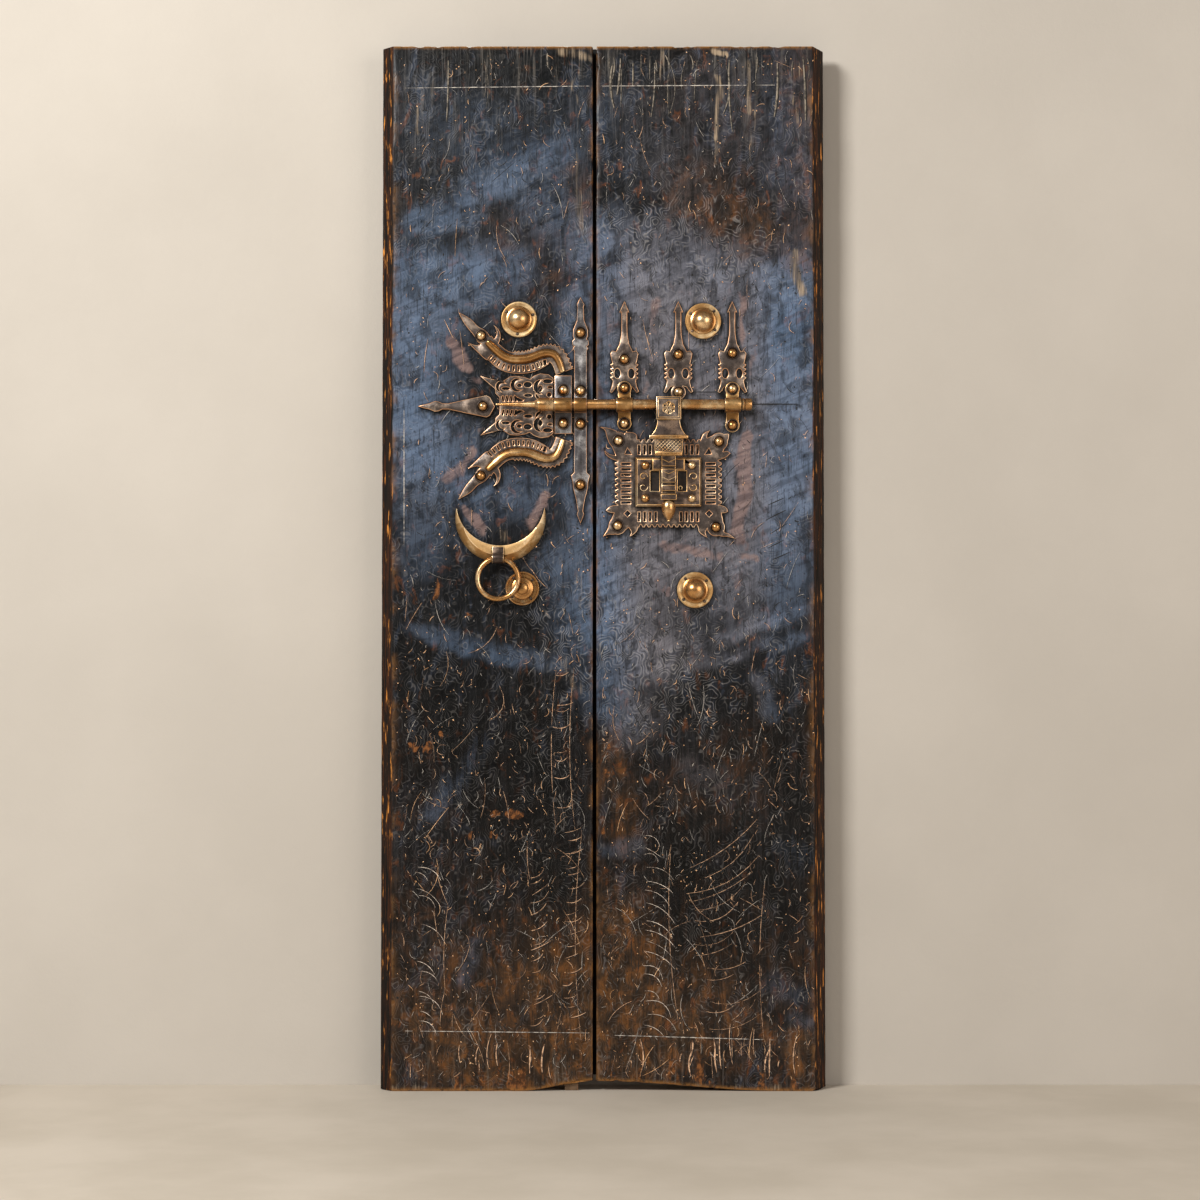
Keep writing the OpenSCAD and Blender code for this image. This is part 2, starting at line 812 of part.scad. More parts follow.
// Half outline of the long keeper: half width and v
long_half = [[0, 209], [7.4, 194], [5.6, 190], [7, 164], [14, 146], [14.5, 134], [12, 128], [15.5, 125],
    [16, 117], [12, 114], [15, 110], [12, 106], [12, -128], [18, -134], [15, -146], [14, -158],
    [8, -182], [4.8, -202], [7, -208], [0, -226]];

module long_keeper() {
    color(iron) {
        front(0, plate_t)
            difference() {
                translate([long_u, 0])
                    polygon(both_sides(long_half));
                translate([long_u - 20, -arch_out + 1])
                    square([40, 2 * arch_out - 2]);
                holes_at(long_rivets, hole_r);
            }
        arch(long_u - long_w / 2, long_w);
    }
}

// Spear plates: arrow, shaft and a plate with toothed sides and two eyes

spear_teeth = 4;
spear_tooth_pitch = 8.2;
spear_tooth_top = 81;
eye_web = 9;

module spear_plate(i) {
    side = concat(
        [[0, spear_tip], [9.4, spear_tip - 21.5], [5.6, spear_tip - 21], [5.4, spear_tip - 48],
            [6, spear_tip - 64], [9, spear_tip - 82], [16, spear_tip - 97], [spear_half - 5, 106],
            [spear_half - 1, 100], [spear_half - 3.5, 88]],
        [for (k = [0 : spear_teeth - 1])
            let (v = spear_tooth_top - k * spear_tooth_pitch)
            for (q = [[5.5, 0], [1.4, 1.6], [2.4, 4.6], [5.5, 6.2]]) [spear_half - q.x, v - q.y]],
        [[spear_half - 6, 46], [spear_half - 4, 37], [spear_half, 27], [spear_half - 4, 24.6],
            [15, 36], [0, 40]]);
    u = spear_us[i];
    rivet_points = [[u, spear_low_v[i]], [u, spear_top_v[i]]];
    difference() {
        joined(0, plate_t) {
            translate([u, 0])
                polygon(both_sides(side));
            translate(rivet_points[0])
                circle(r = washer_r + 2);
            translate(rivet_points[1])
                circle(r = washer_r + 3);
            translate([u - eye_web, spear_low_v[i]])
                square([2 * eye_web, 46 - spear_low_v[i]]);
        }
        front(-1, plate_t + 2) {
            for (s = [-1, 1])
                polygon(oval([u + s * 13.5, 62], 6, 9.5));
            holes_at(rivet_points, hole_r);
        }
    }
}

module inner_spear_plate() {
    color(iron)
        spear_plate(0);
}

module middle_spear_plate() {
    color(iron)
        spear_plate(1);
}

module outer_spear_plate() {
    color(iron)
        spear_plate(2);
}

// A staple's upper foot lies on its spear plate, and its lower foot on the wood
module staple(i, low_v) {
    u = spear_us[i];
    high_v = spear_low_v[i];
    foot_w = staple_w - 6;
    front(plate_t, plate_t)
        difference() {
            union() {
                translate([u, high_v])
                    circle(r = washer_r + 1.5);
                translate([u - foot_w / 2, arch_in])
                    square([foot_w, high_v - arch_in]);
            }
            holes_at([[u, high_v]], hole_r);
        }
    front(0, plate_t)
        difference() {
            union() {
                translate([u, low_v])
                    circle(r = washer_r + 1.5);
                translate([u - foot_w / 2, low_v])
                    square([foot_w, -arch_in - low_v]);
            }
            holes_at([[u, low_v]], hole_r);
        }
    arch(u - staple_w / 2, staple_w);
}

module inner_staple() {
    color(brass)
        staple(0, staple_low_v[0]);
}

module outer_staple() {
    color(brass)
        staple(2, staple_low_v[1]);
}

// Lock back plate: toothed edges, rows of slits, and corner ears with hooks

back_teeth = 8;
back_teeth_wide = 12;
back_pitch = 10.6;
back_tooth = 5;
ear_r = washer_r + 5;
slit_rows = 4;
slit_first = 24;
back_slit = [18, 4.6];
back_shift = -1.7;

// Teeth along one edge, at a distance half from the plate's middle
function edge_teeth(n, half) = [for (i = [0 : n - 1])
    let (t = (i - n / 2) * back_pitch)
    for (q = [[0.1, 1], [0.35, 0], [0.75, 0], [0.95, 1]]) [t + q.x * back_pitch, half - q.y * back_tooth]];

back_top = edge_teeth(back_teeth_wide, back_half_h);
back_side = [for (p = edge_teeth(back_teeth, back_half_w)) [p.y, p.x]];
back_edge = concat(back_top, [for (i = [len(back_side) - 1 : -1 : 0]) back_side[i]],
    [for (i = [len(back_top) - 1 : -1 : 0]) flip(back_top, [1, -1])[i]], flip(back_side, [-1, 1]));

// Webs that carry the ears, drawn for the upper right corner
function corner_web(ear) = [[60, 72], [72, 84], [abs(ear.x) - 5, abs(ear.y) + ear_r - 2],
    [abs(ear.x) + ear_r - 2, abs(ear.y) - 5], [back_half_w - 2, 50], [back_half_w - 8, 38], [66, 44]];

// Hooks, lobes and tails round the corners, from the lock's middle
back_blades = [
    blade([[-98, 63.5], [-105, 67], [-113, 75], [-118, 88], [-122, 101], [-134, 106.6]],
        [[-134, 106.6], [-124, 106], [-108, 102.5], [-98, 98]]),
    blade([[-95, 41], [-106, 44], [-114, 48.5], [-120, 54.5], [-123, 63.5]],
        [[-123, 63.5], [-118, 58], [-111, 53.5], [-95, 51]]),
    blade([[-86, 88], [-82, 95.5], [-70, 96], [-62, 93], [-59.5, 85], [-61, 72]],
        [[-61, 72], [-80, 70]], 3),
    blade([[58, 72], [63, 84], [68, 94], [80, 100]], [[80, 100], [75, 92], [75, 84], [80, 72]]),
    blade([[104, 90], [110, 93], [116, 93]], [[116, 93], [115.5, 84], [111, 74], [104, 64]]),
    blade([[95, 61], [106, 59], [113, 60], [119, 56]], [[119, 56], [111, 48.5], [103, 45], [95, 42]]),
    blade([[-95, -43], [-106, -44.5], [-113, -47], [-119.5, -54]], [[-119.5, -54], [-110, -58], [-95, -59]]),
    blade([[-104, -72], [-113, -80], [-116, -89], [-125, -104]],
        [[-125, -104], [-114, -100], [-104, -100], [-95, -96]]),
    blade([[-56, -74], [-59, -91], [-66, -99], [-74, -104]], [[-74, -104], [-71, -95], [-76, -86], [-82, -76]]),
    blade([[95, -43], [106, -45.5], [112, -50], [114, -56]], [[114, -56], [108, -58.5], [95, -59]]),
    blade([[102, -80], [107, -95], [115, -98], [129, -108.5]],
        [[129, -108.5], [113, -104], [102, -103.5], [91, -100]]),
    blade([[56, -74], [58, -93], [66, -101], [75, -106]], [[75, -106], [71, -96], [76, -86], [82, -76]])];

module back_corners() {
    for (i = [0 : len(back_ears) - 1]) {
        front(0, plate_t)
            translate([lock_u, -lock_drop] + back_ears[i])
                circle(r = ear_r);
        front(0, plate_t)
            translate([lock_u, -lock_drop])
                polygon(flip(corner_web(back_ears[i]), ear_signs[i]));
    }
    for (edge = back_blades)
        front(0, plate_t)
            translate([lock_u, -lock_drop])
                polygon(edge);
}

module back_slits() {
    for (s = [-1, 1]) {
        for (i = [0 : back_teeth - 1])
            translate([s * (back_half_w - 21), (i - (back_teeth - 1) / 2) * back_pitch])
                square(back_slit, center = true);
        for (i = [0 : slit_rows - 1], t = [-1, 1])
            translate([s * (slit_first + i * back_pitch), t * (back_half_h - 20)])
                square([back_slit.y, back_slit.x], center = true);
        translate([s * (back_half_w - 24), -back_half_h + 26])
            rotate(45)
                square([9, 9], center = true);
        translate([s * (back_half_w - 25), back_half_h - 24])
            polygon([[-7 * s, -5], [6 * s, -4], [1 * s, 7]]);
    }
}

module lock_back_plate() {
    color(iron)
        difference() {
            union() {
                front(0, plate_t)
                    translate([lock_u, -lock_drop + back_shift])
                        polygon(back_edge);
                back_corners();
            }
            front(-1, plate_t + 2)
                translate([lock_u, -lock_drop]) {
                    translate([0, back_shift])
                        back_slits();
                    holes_at(back_ears, hole_r);
                    holes_at([for (s = ear_signs) [s.x * case_rivet.x, s.y * case_rivet.y]], hole_r);
                }
        }
}

// Lock case: a block with sloped edges, a bridge for the arm, two sunk windows and the staple slot

case_slope = 3;
bridge_half_w = 30;
bridge_v = [-123.5, -100.5];
bridge_rise = 2.2;
window_u = [17.5, 34.5];
window_v = [-164.5, -126];
window_depth = 5;
bush_u = 22.8;
bush_v = -158;
bush_r = 3.4;
bush_lip = 1.6;
key_r = 2.2;
key_slot = [1.8, 4.6];
slot_clear = 1.2;

module case_block() {
    mid = -lock_drop;
    intersection() {
        across(lock_u - case_half_w, 2 * case_half_w)
            polygon([[plate_t, mid - case_half_h], [case_front - case_slope, mid - case_half_h],
                [case_front, mid - case_half_h + case_slope], [case_front, mid + case_half_h - case_slope],
                [case_front - case_slope, mid + case_half_h], [plate_t, mid + case_half_h]]);
        upright(mid - case_half_h, 2 * case_half_h)
            polygon([[lock_u - case_half_w, plate_t], [lock_u - case_half_w, case_front - case_slope],
                [lock_u - case_half_w + case_slope, case_front],
                [lock_u + case_half_w - case_slope, case_front],
                [lock_u + case_half_w, case_front - case_slope], [lock_u + case_half_w, plate_t]]);
    }
}

module lock_case() {
    color(iron)
        difference() {
            union() {
                case_block();
                front(case_front - 1, bridge_rise + 1)
                    translate([lock_u - bridge_half_w, bridge_v[0]])
                        square([2 * bridge_half_w, bridge_v[1] - bridge_v[0] - case_slope]);
            }
            front(case_front - window_depth, window_depth + 1)
                for (s = [-1, 1])
                    translate([lock_u + s * (window_u[0] + window_u[1]) / 2, (window_v[0] + window_v[1]) / 2])
                        square([window_u[1] - window_u[0], window_v[1] - window_v[0]], center = true);
            front(plate_t - 1, case_h + 2)
                translate([lock_u, staple_v])
                    square(2 * [staple_half_w + slot_clear, staple_half_h + 2 * slot_clear], center = true);
            shank_holes_through(case_rivet_list);
            at_face(lock_u + bush_u, bush_v, plate_t - 1)
                cylinder(r = bush_r + shank_clear, h = case_h);
        }
}

module shank_holes_through(list) {
    for (p = list)
        at_face(p.x, p.y)
            cylinder(r = hole_r, h = p.z + 1);
}

module keyhole_bush() {
    tube = case_front - window_depth - plate_t;
    lip = bush_r + bush_lip;
    color(brass)
        difference() {
            at_face(lock_u + bush_u, bush_v, plate_t)
                rotate_extrude()
                    polygon([[key_r, 0], [bush_r, 0], [bush_r, tube], [lip, tube], [lip - 0.8, tube + 2],
                        [key_r, tube + 2]]);
            front(plate_t - 1, case_h + 4)
                translate([lock_u + bush_u - key_slot.x / 2, bush_v - key_slot.y])
                    square(key_slot);
        }
}

// Crescent, ring staple and ring

crescent_lift = 30.8;

module crescent_plate() {
    color(brass)
        difference() {
            at_face(crescent_u, -crescent_drop)
                cylinder(r1 = crescent_r, r2 = crescent_face_r, h = crescent_t, $fn = 96);
            at_face(crescent_u, -crescent_drop + crescent_lift, -1)
                cylinder(r = crescent_in_r, h = crescent_t + 2, $fn = 96);
        }
}

ring_eye_wall = 2.8;
ring_tab_v = -271;

module ring_staple() {
    eye_out = ring_eye_r + ring_eye_wall;
    color(brass)
        difference() {
            union() {
                across(ring_u - ring_staple_w / 2, ring_staple_w)
                    translate([ring_off, ring_pivot_v])
                        circle(r = eye_out);
                front(crescent_t, plate_t)
                    translate([ring_u - ring_staple_w / 2, ring_pivot_v + ring_eye_r])
                        square([ring_staple_w, ring_tab_v - ring_pivot_v - ring_eye_r]);
            }
            across(ring_u - ring_staple_w, 2 * ring_staple_w)
                translate([ring_off, ring_pivot_v])
                    circle(r = ring_eye_r);
        }
}

module pull_ring() {
    color(brass)
        at_face(ring_u, ring_v, ring_off)
            rotate_extrude($fn = 64)
                translate([ring_r, 0])
                    circle(r = ring_wire_r);
}

// Rivets: a dome on a rose washer, with its shank through the plates into the wood

module rivet(base, r) {
    cap_r = (r * r + dome_h * dome_h) / (2 * dome_h);
    translate([0, 0, -base - shank_depth])
        cylinder(r = shank_r, h = base + shank_depth + 1);
    intersection() {
        translate([0, 0, dome_h - cap_r])
            sphere(r = cap_r);
        cylinder(r = r + 1, h = dome_h + 1);
    }
}

module rivets(list) {
    color(brass)
        for (p = list)
            at_face(p.x, p.y, p.z + washer_t)
                rivet(p.z + washer_t, dome_r);
}

module washers(list) {
    color(brass)
        for (p = list)
            at_face(p.x, p.y, p.z)
                difference() {
                    cylinder(r1 = washer_r, r2 = washer_r - 1, h = washer_t);
                    translate([0, 0, -1])
                        cylinder(r = hole_r, h = washer_t + 2);
                }
}

module left_rivets() {
    rivets(left_rivet_list);
}

module left_washers() {
    washers(left_rivet_list);
}

module right_rivets() {
    rivets(right_rivet_list);
}

module right_washers() {
    washers(right_rivet_list);
}

module lock_case_rivets() {
    color(brass)
        for (p = case_rivet_list)
            at_face(p.x, p.y, p.z)
                rivet(p.z, case_dome_r);
}

// Bolt: a rod with a neck inside the hasp's eye, a rounded tip and an end collar on a spigot

tip_len = 5;
tip_cut = 3;
spigot_r = 6;
spigot_len = 13;
spigot_clear = 0.05;
spigot_room = 0.2;
end_chamfer = 1.6;
end_bead = 4;
end_groove = 1.2;

module bolt_rod() {
    eye0 = lock_u - eye_half_w - hasp_side_clear - bolt_left_u;
    eye1 = eye0 + 2 * (eye_half_w + hasp_side_clear);
    shoulder = bolt_end_u - bolt_left_u;
    color(brass)
        on_bolt(bolt_left_u)
            rotate_extrude()
                polygon([[0, 0], [bolt_r - tip_cut, 0], [bolt_r, tip_len], [bolt_r, eye0], [neck_r, eye0],
                    [neck_r, eye1], [bolt_r, eye1], [bolt_r, shoulder], [spigot_r, shoulder],
                    [spigot_r, shoulder + spigot_len], [0, shoulder + spigot_len]]);
}

module bolt_end() {
    socket_r = spigot_r + spigot_clear;
    socket_len = spigot_len + spigot_room;
    groove_r = end_r - end_groove;
    color(brass)
        on_bolt(bolt_end_u)
            rotate_extrude()
                polygon([[socket_r, 0], [end_r, 0], [end_r, end_bead], [groove_r, end_bead + end_groove],
                    [groove_r, end_bead + 2 * end_groove], [end_r, end_bead + 3 * end_groove],
                    [end_r, end_len - end_chamfer], [end_r - end_chamfer, end_len], [0, end_len],
                    [0, socket_len], [socket_r, socket_len]]);
}

// Hasp: eye block, flared neck, mouldings and arm, in one piece

eye_top = 14;
eye_foot = -29.4;
flare_v = -60;
moulding_v = -66;
moulding_half_w = 37;
block_foot = -92;
block_half_w = 26.5;
lip_half_w = 25.5;
neck_back = 4;
neck_t = 14;
moulding_back = 6;
block_proud = 9;
lip_proud = 11;
block_lap = 1;
foot_bead = [11, 1.5, 2];
arm_notches = [-121, -152, -168];
notch_r = 2.4;

module hasp_front(off0, off1, v0, v1, half) {
    front(off0, off1 - off0)
        translate([lock_u - half, v0])
            square([2 * half, v1 - v0]);
}

// The neck spreads in a hollow curve from the eye block to the moulding
function neck_half(t) = eye_half_w - 2 + (moulding_half_w - eye_half_w) * pow(t, 2.4);

module hasp_neck() {
    steps = 8;
    side = [for (i = [0 : steps]) [neck_half(i / steps), eye_foot + (flare_v - 1 - eye_foot) * i / steps]];
    front(bolt_off - neck_back, neck_t)
        translate([lock_u, 0])
            polygon(concat([[side[0].x, eye_foot + 4]], side,
                flip([for (i = [steps : -1 : 0]) side[i]], [-1, 1]), [[-side[0].x, eye_foot + 4]]));
}

// Star pierced into the front of the eye block
module star() {
    for (a = [30 : 60 : 330])
        rotate(a)
            polygon([[3.5, 0], [10, 3.6], [12, 0], [10, -3.6]]);
}

module hasp() {
    star_depth = 1.8;
    arm_front = arm_back + arm_t;
    color(iron)
        difference() {
            union() {
                hasp_front(bolt_off - eye_back, bolt_off + eye_front, eye_foot, eye_top, eye_half_w);
                hasp_neck();
                hasp_front(bolt_off - moulding_back, bolt_off + eye_front, moulding_v, flare_v, moulding_half_w);
                hasp_front(bolt_off - neck_back, bolt_off + block_proud, block_foot, moulding_v + block_lap,
                    block_half_w);
                hasp_front(bolt_off - neck_back, bolt_off + lip_proud, arm_top_v, block_foot, lip_half_w);
                hasp_front(arm_back, arm_front, arm_foot_v, block_foot + block_lap, arm_half_w);
                hasp_front(arm_back, arm_front + foot_bead[2], arm_foot_v, arm_foot_v + foot_bead[0],
                    arm_half_w + foot_bead[1]);
            }
            on_bolt(lock_u - eye_half_w - 1)
                cylinder(r = neck_r + run_clear, h = 2 * eye_half_w + 2);
            front(bolt_off + eye_front - star_depth, star_depth + 1)
                translate([lock_u, (eye_top + eye_foot) / 2])
                    star();
            for (v = arm_notches)
                translate([meet_x + lock_u - arm_half_w - 1, face_y - arm_front, bolt_z + v])
                    rotate([0, 90, 0])
                        cylinder(r = notch_r, h = 2 * arm_half_w + 2);
        }
}

module hasp_staple() {
    tip = case_front + staple_stop;
    color(iron)
        across(lock_u - staple_half_w, 2 * staple_half_w)
            difference() {
                translate([tip, staple_v - staple_half_h])
                    square([arm_back - tip, 2 * staple_half_h]);
                translate([(tip + arm_back) / 2, staple_v])
                    circle(r = 2.4);
            }
}

// Acorn with a flat back, under the foot of the arm
acorn_len = 41;
acorn_profile = [[0, 0], [0.62, 0], [0.8, 0.06], [0.94, 0.18], [1, 0.32], [0.96, 0.46], [0.84, 0.6],
    [0.62, 0.75], [0.36, 0.87], [0.2, 0.93], [0.22, 0.97], [0, 1]];

module hasp_knob() {
    axis_off = proud - acorn_r;
    color(brass)
        intersection() {
            translate([meet_x + lock_u, face_y - axis_off, bolt_z + arm_foot_v])
                rotate_extrude()
                    polygon([for (p = acorn_profile) [p.x * acorn_r, -p.y * acorn_len]]);
            front(arm_back, 60)
                translate([lock_u - 30, arm_foot_v - acorn_len - 1])
                    square([60, acorn_len + 2]);
        }
}

left_leaf();
right_leaf();
left_ledges();
right_ledges();
ledge_nails();
foot_peg();
upper_left_boss();
upper_right_boss();
lower_right_boss();
knocker_boss();
boss_nails();
upper_serpent_plate();
upper_serpent_bar();
lower_serpent_plate();
lower_serpent_bar();
foliage_plate();
left_spear();
bolt_receiver();
short_keeper();
long_keeper();
inner_spear_plate();
middle_spear_plate();
outer_spear_plate();
inner_staple();
outer_staple();
lock_back_plate();
lock_case();
keyhole_bush();
crescent_plate();
ring_staple();
left_rivets();
left_washers();
right_rivets();
right_washers();
lock_case_rivets();
bolt_rod();
bolt_end();
hasp();
hasp_staple();
hasp_knob();
pull_ring();
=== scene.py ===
"""Looks of the old two-leaf plank door: worn lacquer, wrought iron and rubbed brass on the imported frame."""

import json
import math

import bmesh
import bpy
import numpy as np
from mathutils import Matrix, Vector

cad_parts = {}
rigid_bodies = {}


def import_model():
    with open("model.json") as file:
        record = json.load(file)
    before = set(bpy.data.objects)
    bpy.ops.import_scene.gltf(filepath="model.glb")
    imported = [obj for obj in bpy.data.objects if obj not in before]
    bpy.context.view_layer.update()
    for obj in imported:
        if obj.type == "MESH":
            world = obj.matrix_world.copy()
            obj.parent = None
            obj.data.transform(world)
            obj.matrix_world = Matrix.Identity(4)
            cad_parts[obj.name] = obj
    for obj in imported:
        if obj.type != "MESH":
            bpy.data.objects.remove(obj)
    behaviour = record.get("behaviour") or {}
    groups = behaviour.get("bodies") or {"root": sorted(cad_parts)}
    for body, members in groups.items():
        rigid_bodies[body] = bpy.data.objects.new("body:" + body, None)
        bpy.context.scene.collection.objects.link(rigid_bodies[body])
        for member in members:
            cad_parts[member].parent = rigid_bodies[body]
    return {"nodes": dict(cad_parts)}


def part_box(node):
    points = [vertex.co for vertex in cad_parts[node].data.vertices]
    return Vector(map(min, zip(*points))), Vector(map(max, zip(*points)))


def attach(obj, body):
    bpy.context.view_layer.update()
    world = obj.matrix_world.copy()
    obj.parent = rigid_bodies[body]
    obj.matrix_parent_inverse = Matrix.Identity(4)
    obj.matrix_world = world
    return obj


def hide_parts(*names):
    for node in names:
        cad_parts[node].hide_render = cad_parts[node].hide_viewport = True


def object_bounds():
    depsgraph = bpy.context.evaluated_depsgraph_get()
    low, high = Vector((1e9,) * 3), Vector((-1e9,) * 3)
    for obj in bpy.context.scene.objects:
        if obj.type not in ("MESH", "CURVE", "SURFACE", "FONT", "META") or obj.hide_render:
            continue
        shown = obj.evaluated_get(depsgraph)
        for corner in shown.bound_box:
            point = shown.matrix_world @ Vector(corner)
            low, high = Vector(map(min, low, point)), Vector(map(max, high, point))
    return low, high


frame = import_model()
cad_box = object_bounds()

MM = 0.001
SMALL = 1e-9

# The photograph: its square size and the lens that the four corners of the door give, in pixels
PHOTO_SIZE = 1200
FOCAL_PX = 2607.8
EYE = Vector((-0.0066, -5.0, 0.7819))
PITCH = math.radians(1.7483)
SENSOR = 36.0

# Leaf sizes that the frame's boxes don't give: a bevel's width and depth, a worn foot's height and length,
# the pivot sockets, and the bolt groove's length, height and depth
LEFT_BEVEL = (20 * MM, 22 * MM)
RIGHT_BEVEL = (22 * MM, 42 * MM)
LEFT_WEAR = (20 * MM, 140 * MM)
RIGHT_WEAR = (19 * MM, 350 * MM)
SOCKET_R, SOCKET_DEEP, SOCKET_INSET, SOCKET_SIDES = 9 * MM, 40 * MM, 34 * MM, 24
GROOVE = (92 * MM, 13 * MM, 3 * MM)

FACE_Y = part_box("left_leaf")[0].y
TOP_Z = cad_box[1].z
BOLT_Z = (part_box("bolt_rod")[0].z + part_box("bolt_rod")[1].z) / 2
GROOVE_LIP = 2 * MM
GROOVE_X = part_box("bolt_end")[1].x + GROOVE_LIP


# Small tools

def linear(code):
    """The linear colour of an sRGB hex value."""
    parts = [int(code[i:i + 2], 16) / 255 for i in (1, 3, 5)]
    return [c / 12.92 if c <= 0.04045 else ((c + 0.055) / 1.055) ** 2.4 for c in parts] + [1.0]


def add(tree, kind, inputs=None, out=0, **settings):
    """One node with its settings and its inputs, values or sockets. Gives the output out, or the node."""
    node = tree.nodes.new(kind)
    for key, value in settings.items():
        setattr(node, key, value)
    for key, value in (inputs or {}).items():
        if isinstance(value, bpy.types.NodeSocket):
            tree.links.new(value, node.inputs[key])
        else:
            node.inputs[key].default_value = value
    return node if out is None else node.outputs[out]


def link(name, mesh):
    """A mesh as an object of the scene."""
    obj = bpy.data.objects.new(name, mesh)
    bpy.context.scene.collection.objects.link(obj)
    return obj


def piece(obj, body, nodes=()):
    """Sets a finished piece on the body it moves with and hides the CAD nodes it stands for."""
    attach(obj, body)
    if nodes:
        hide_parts(*nodes)
    return obj


def shade(bm, angle=32):
    """Smooth shading that keeps the edges sharper than angle."""
    for face in bm.faces:
        face.smooth = True
    for edge in bm.edges:
        edge.smooth = edge.calc_face_angle(0) < math.radians(angle)


def build(name, verts, faces, angle=32, weld=0.0):
    """A closed mesh object from points and faces, its normals turned outwards."""
    mesh = bpy.data.meshes.new(name)
    mesh.from_pydata(verts, [], faces)
    bm = bmesh.new()
    bm.from_mesh(mesh)
    if weld:
        bmesh.ops.remove_doubles(bm, verts=bm.verts, dist=weld)
    bmesh.ops.recalc_face_normals(bm, faces=bm.faces)
    shade(bm, angle)
    bm.to_mesh(mesh)
    bm.free()
    return link(name, mesh)


def plain_mesh(obj, name):
    """The object with its modifiers worked in, as a new plain object. The first one goes."""
    bpy.context.view_layer.update()
    mesh = bpy.data.meshes.new_from_object(obj.evaluated_get(bpy.context.evaluated_depsgraph_get()))
    bpy.data.objects.remove(obj)
    mesh.name = name
    return link(name, mesh)


noise_grids = {}


def value_noise(x, z, size, seed):
    """Smooth noise from 0 to 1 over the door's face, its lumps size metres across."""
    if seed not in noise_grids:
        noise_grids[seed] = np.random.default_rng(seed).random((256, 256))
    grid = noise_grids[seed]
    u, v = x / size + 64, z / size + 64
    i, j = np.floor(u).astype(int), np.floor(v).astype(int)
    a, b = u - i, v - j
    a, b = a * a * (3 - 2 * a), b * b * (3 - 2 * b)
    low = grid[i % 256, j % 256] * (1 - a) + grid[(i + 1) % 256, j % 256] * a
    high = grid[i % 256, (j + 1) % 256] * (1 - a) + grid[(i + 1) % 256, (j + 1) % 256] * a
    return low * (1 - b) + high * b


def cloud(x, z, size, seed, octaves=3):
    """Several sizes of the noise together, from 0 to 1."""
    total = sum(value_noise(x, z, size / 2 ** k, seed + k) / 2 ** k for k in range(octaves))
    return total / sum(0.5 ** k for k in range(octaves))


def ramp(value, low, high):
    """0 below low, 1 above high, smooth between them."""
    t = np.clip((value - low) / (high - low), 0, 1)
    return t * t * (3 - 2 * t)


# Where a point of the door's face lies in the photograph, and back

def to_photo(x, y, z):
    """The photograph's pixel where a point of the door is seen."""
    depth = (y - EYE.y) * math.cos(PITCH) + (z - EYE.z) * math.sin(PITCH)
    rise = (z - EYE.z) * math.cos(PITCH) - (y - EYE.y) * math.sin(PITCH)
    return PHOTO_SIZE / 2 + FOCAL_PX * (x - EYE.x) / depth, PHOTO_SIZE / 2 - FOCAL_PX * rise / depth


def to_face(px, py):
    """The x and z of the photograph's pixel on the plane of the leaves' front."""
    across = (np.asarray(px, float) - PHOTO_SIZE / 2) / FOCAL_PX
    up = (PHOTO_SIZE / 2 - np.asarray(py, float)) / FOCAL_PX
    reach = (FACE_Y - EYE.y) / (math.cos(PITCH) - up * math.sin(PITCH))
    return EYE.x + reach * across, EYE.z + reach * (math.sin(PITCH) + up * math.cos(PITCH))


# Marks on the lacquer, in the photograph's pixels: from x, y to x, y, half width and strength
# The sheen marks are painted reflection: a blue-grey or mauve sheen laid into the lacquer's colour
PAINTED_SHEEN_PX = [
    (412, 300, 420, 470, 38, .75), (450, 300, 480, 280, 40, .5), (415, 225, 520, 175, 12, .5),
    (420, 235, 480, 215, 8, .35), (480, 180, 560, 150, 18, .4), (400, 262, 470, 272, 22, .5),
    (480, 280, 520, 270, 20, .4), (430, 110, 560, 170, 45, .12), (400, 420, 470, 470, 30, .45),
    (430, 510, 520, 490, 30, .4), (575, 300, 580, 520, 18, .5), (415, 630, 560, 665, 8, .42),
    (430, 640, 520, 665, 5, .45), (450, 780, 430, 815, 9, .55), (480, 740, 455, 790, 8, .5),
    (560, 560, 585, 640, 25, .4), (600, 250, 640, 290, 30, .5), (640, 280, 790, 285, 35, .6),
    (620, 230, 680, 240, 25, .35), (640, 330, 660, 380, 25, .5), (610, 300, 610, 620, 35, .6),
    (700, 320, 760, 480, 60, .8), (782, 310, 795, 480, 38, .95), (790, 390, 796, 450, 26, .6),
    (640, 560, 760, 560, 60, .7), (615, 600, 640, 650, 40, .7), (610, 650, 720, 640, 9, .6),
    (720, 640, 800, 610, 9, .6), (640, 670, 740, 655, 7, .5), (740, 655, 800, 635, 7, .4),
    (605, 690, 635, 720, 25, .5), (760, 680, 775, 720, 8, .5), (600, 850, 640, 850, 8, .4),
    (690, 770, 720, 780, 12, .3), (790, 850, 820, 870, 14, .4), (770, 980, 815, 1000, 10, .5),
    (790, 1015, 810, 1020, 8, .4), (475, 940, 465, 980, 7, .5), (415, 515, 425, 560, 22, .35),
    (790, 60, 805, 260, 25, .12), (610, 110, 680, 170, 40, .15), (540, 200, 585, 250, 30, .3),
    (720, 90, 800, 160, 40, .15)]
BROWN_PX = [
    (700, 190, 760, 240, 35, .6), (700, 100, 800, 160, 50, .12), (520, 240, 590, 290, 40, .25),
    (575, 170, 585, 230, 12, .35), (610, 930, 645, 1030, 45, .9), (680, 940, 720, 980, 40, .3),
    (800, 1050, 815, 1070, 20, .7), (760, 760, 700, 800, 40, .3), (540, 960, 590, 1020, 40, .6),
    (410, 1030, 560, 1070, 45, .6), (610, 740, 625, 830, 20, .6), (800, 60, 805, 260, 20, .5)]
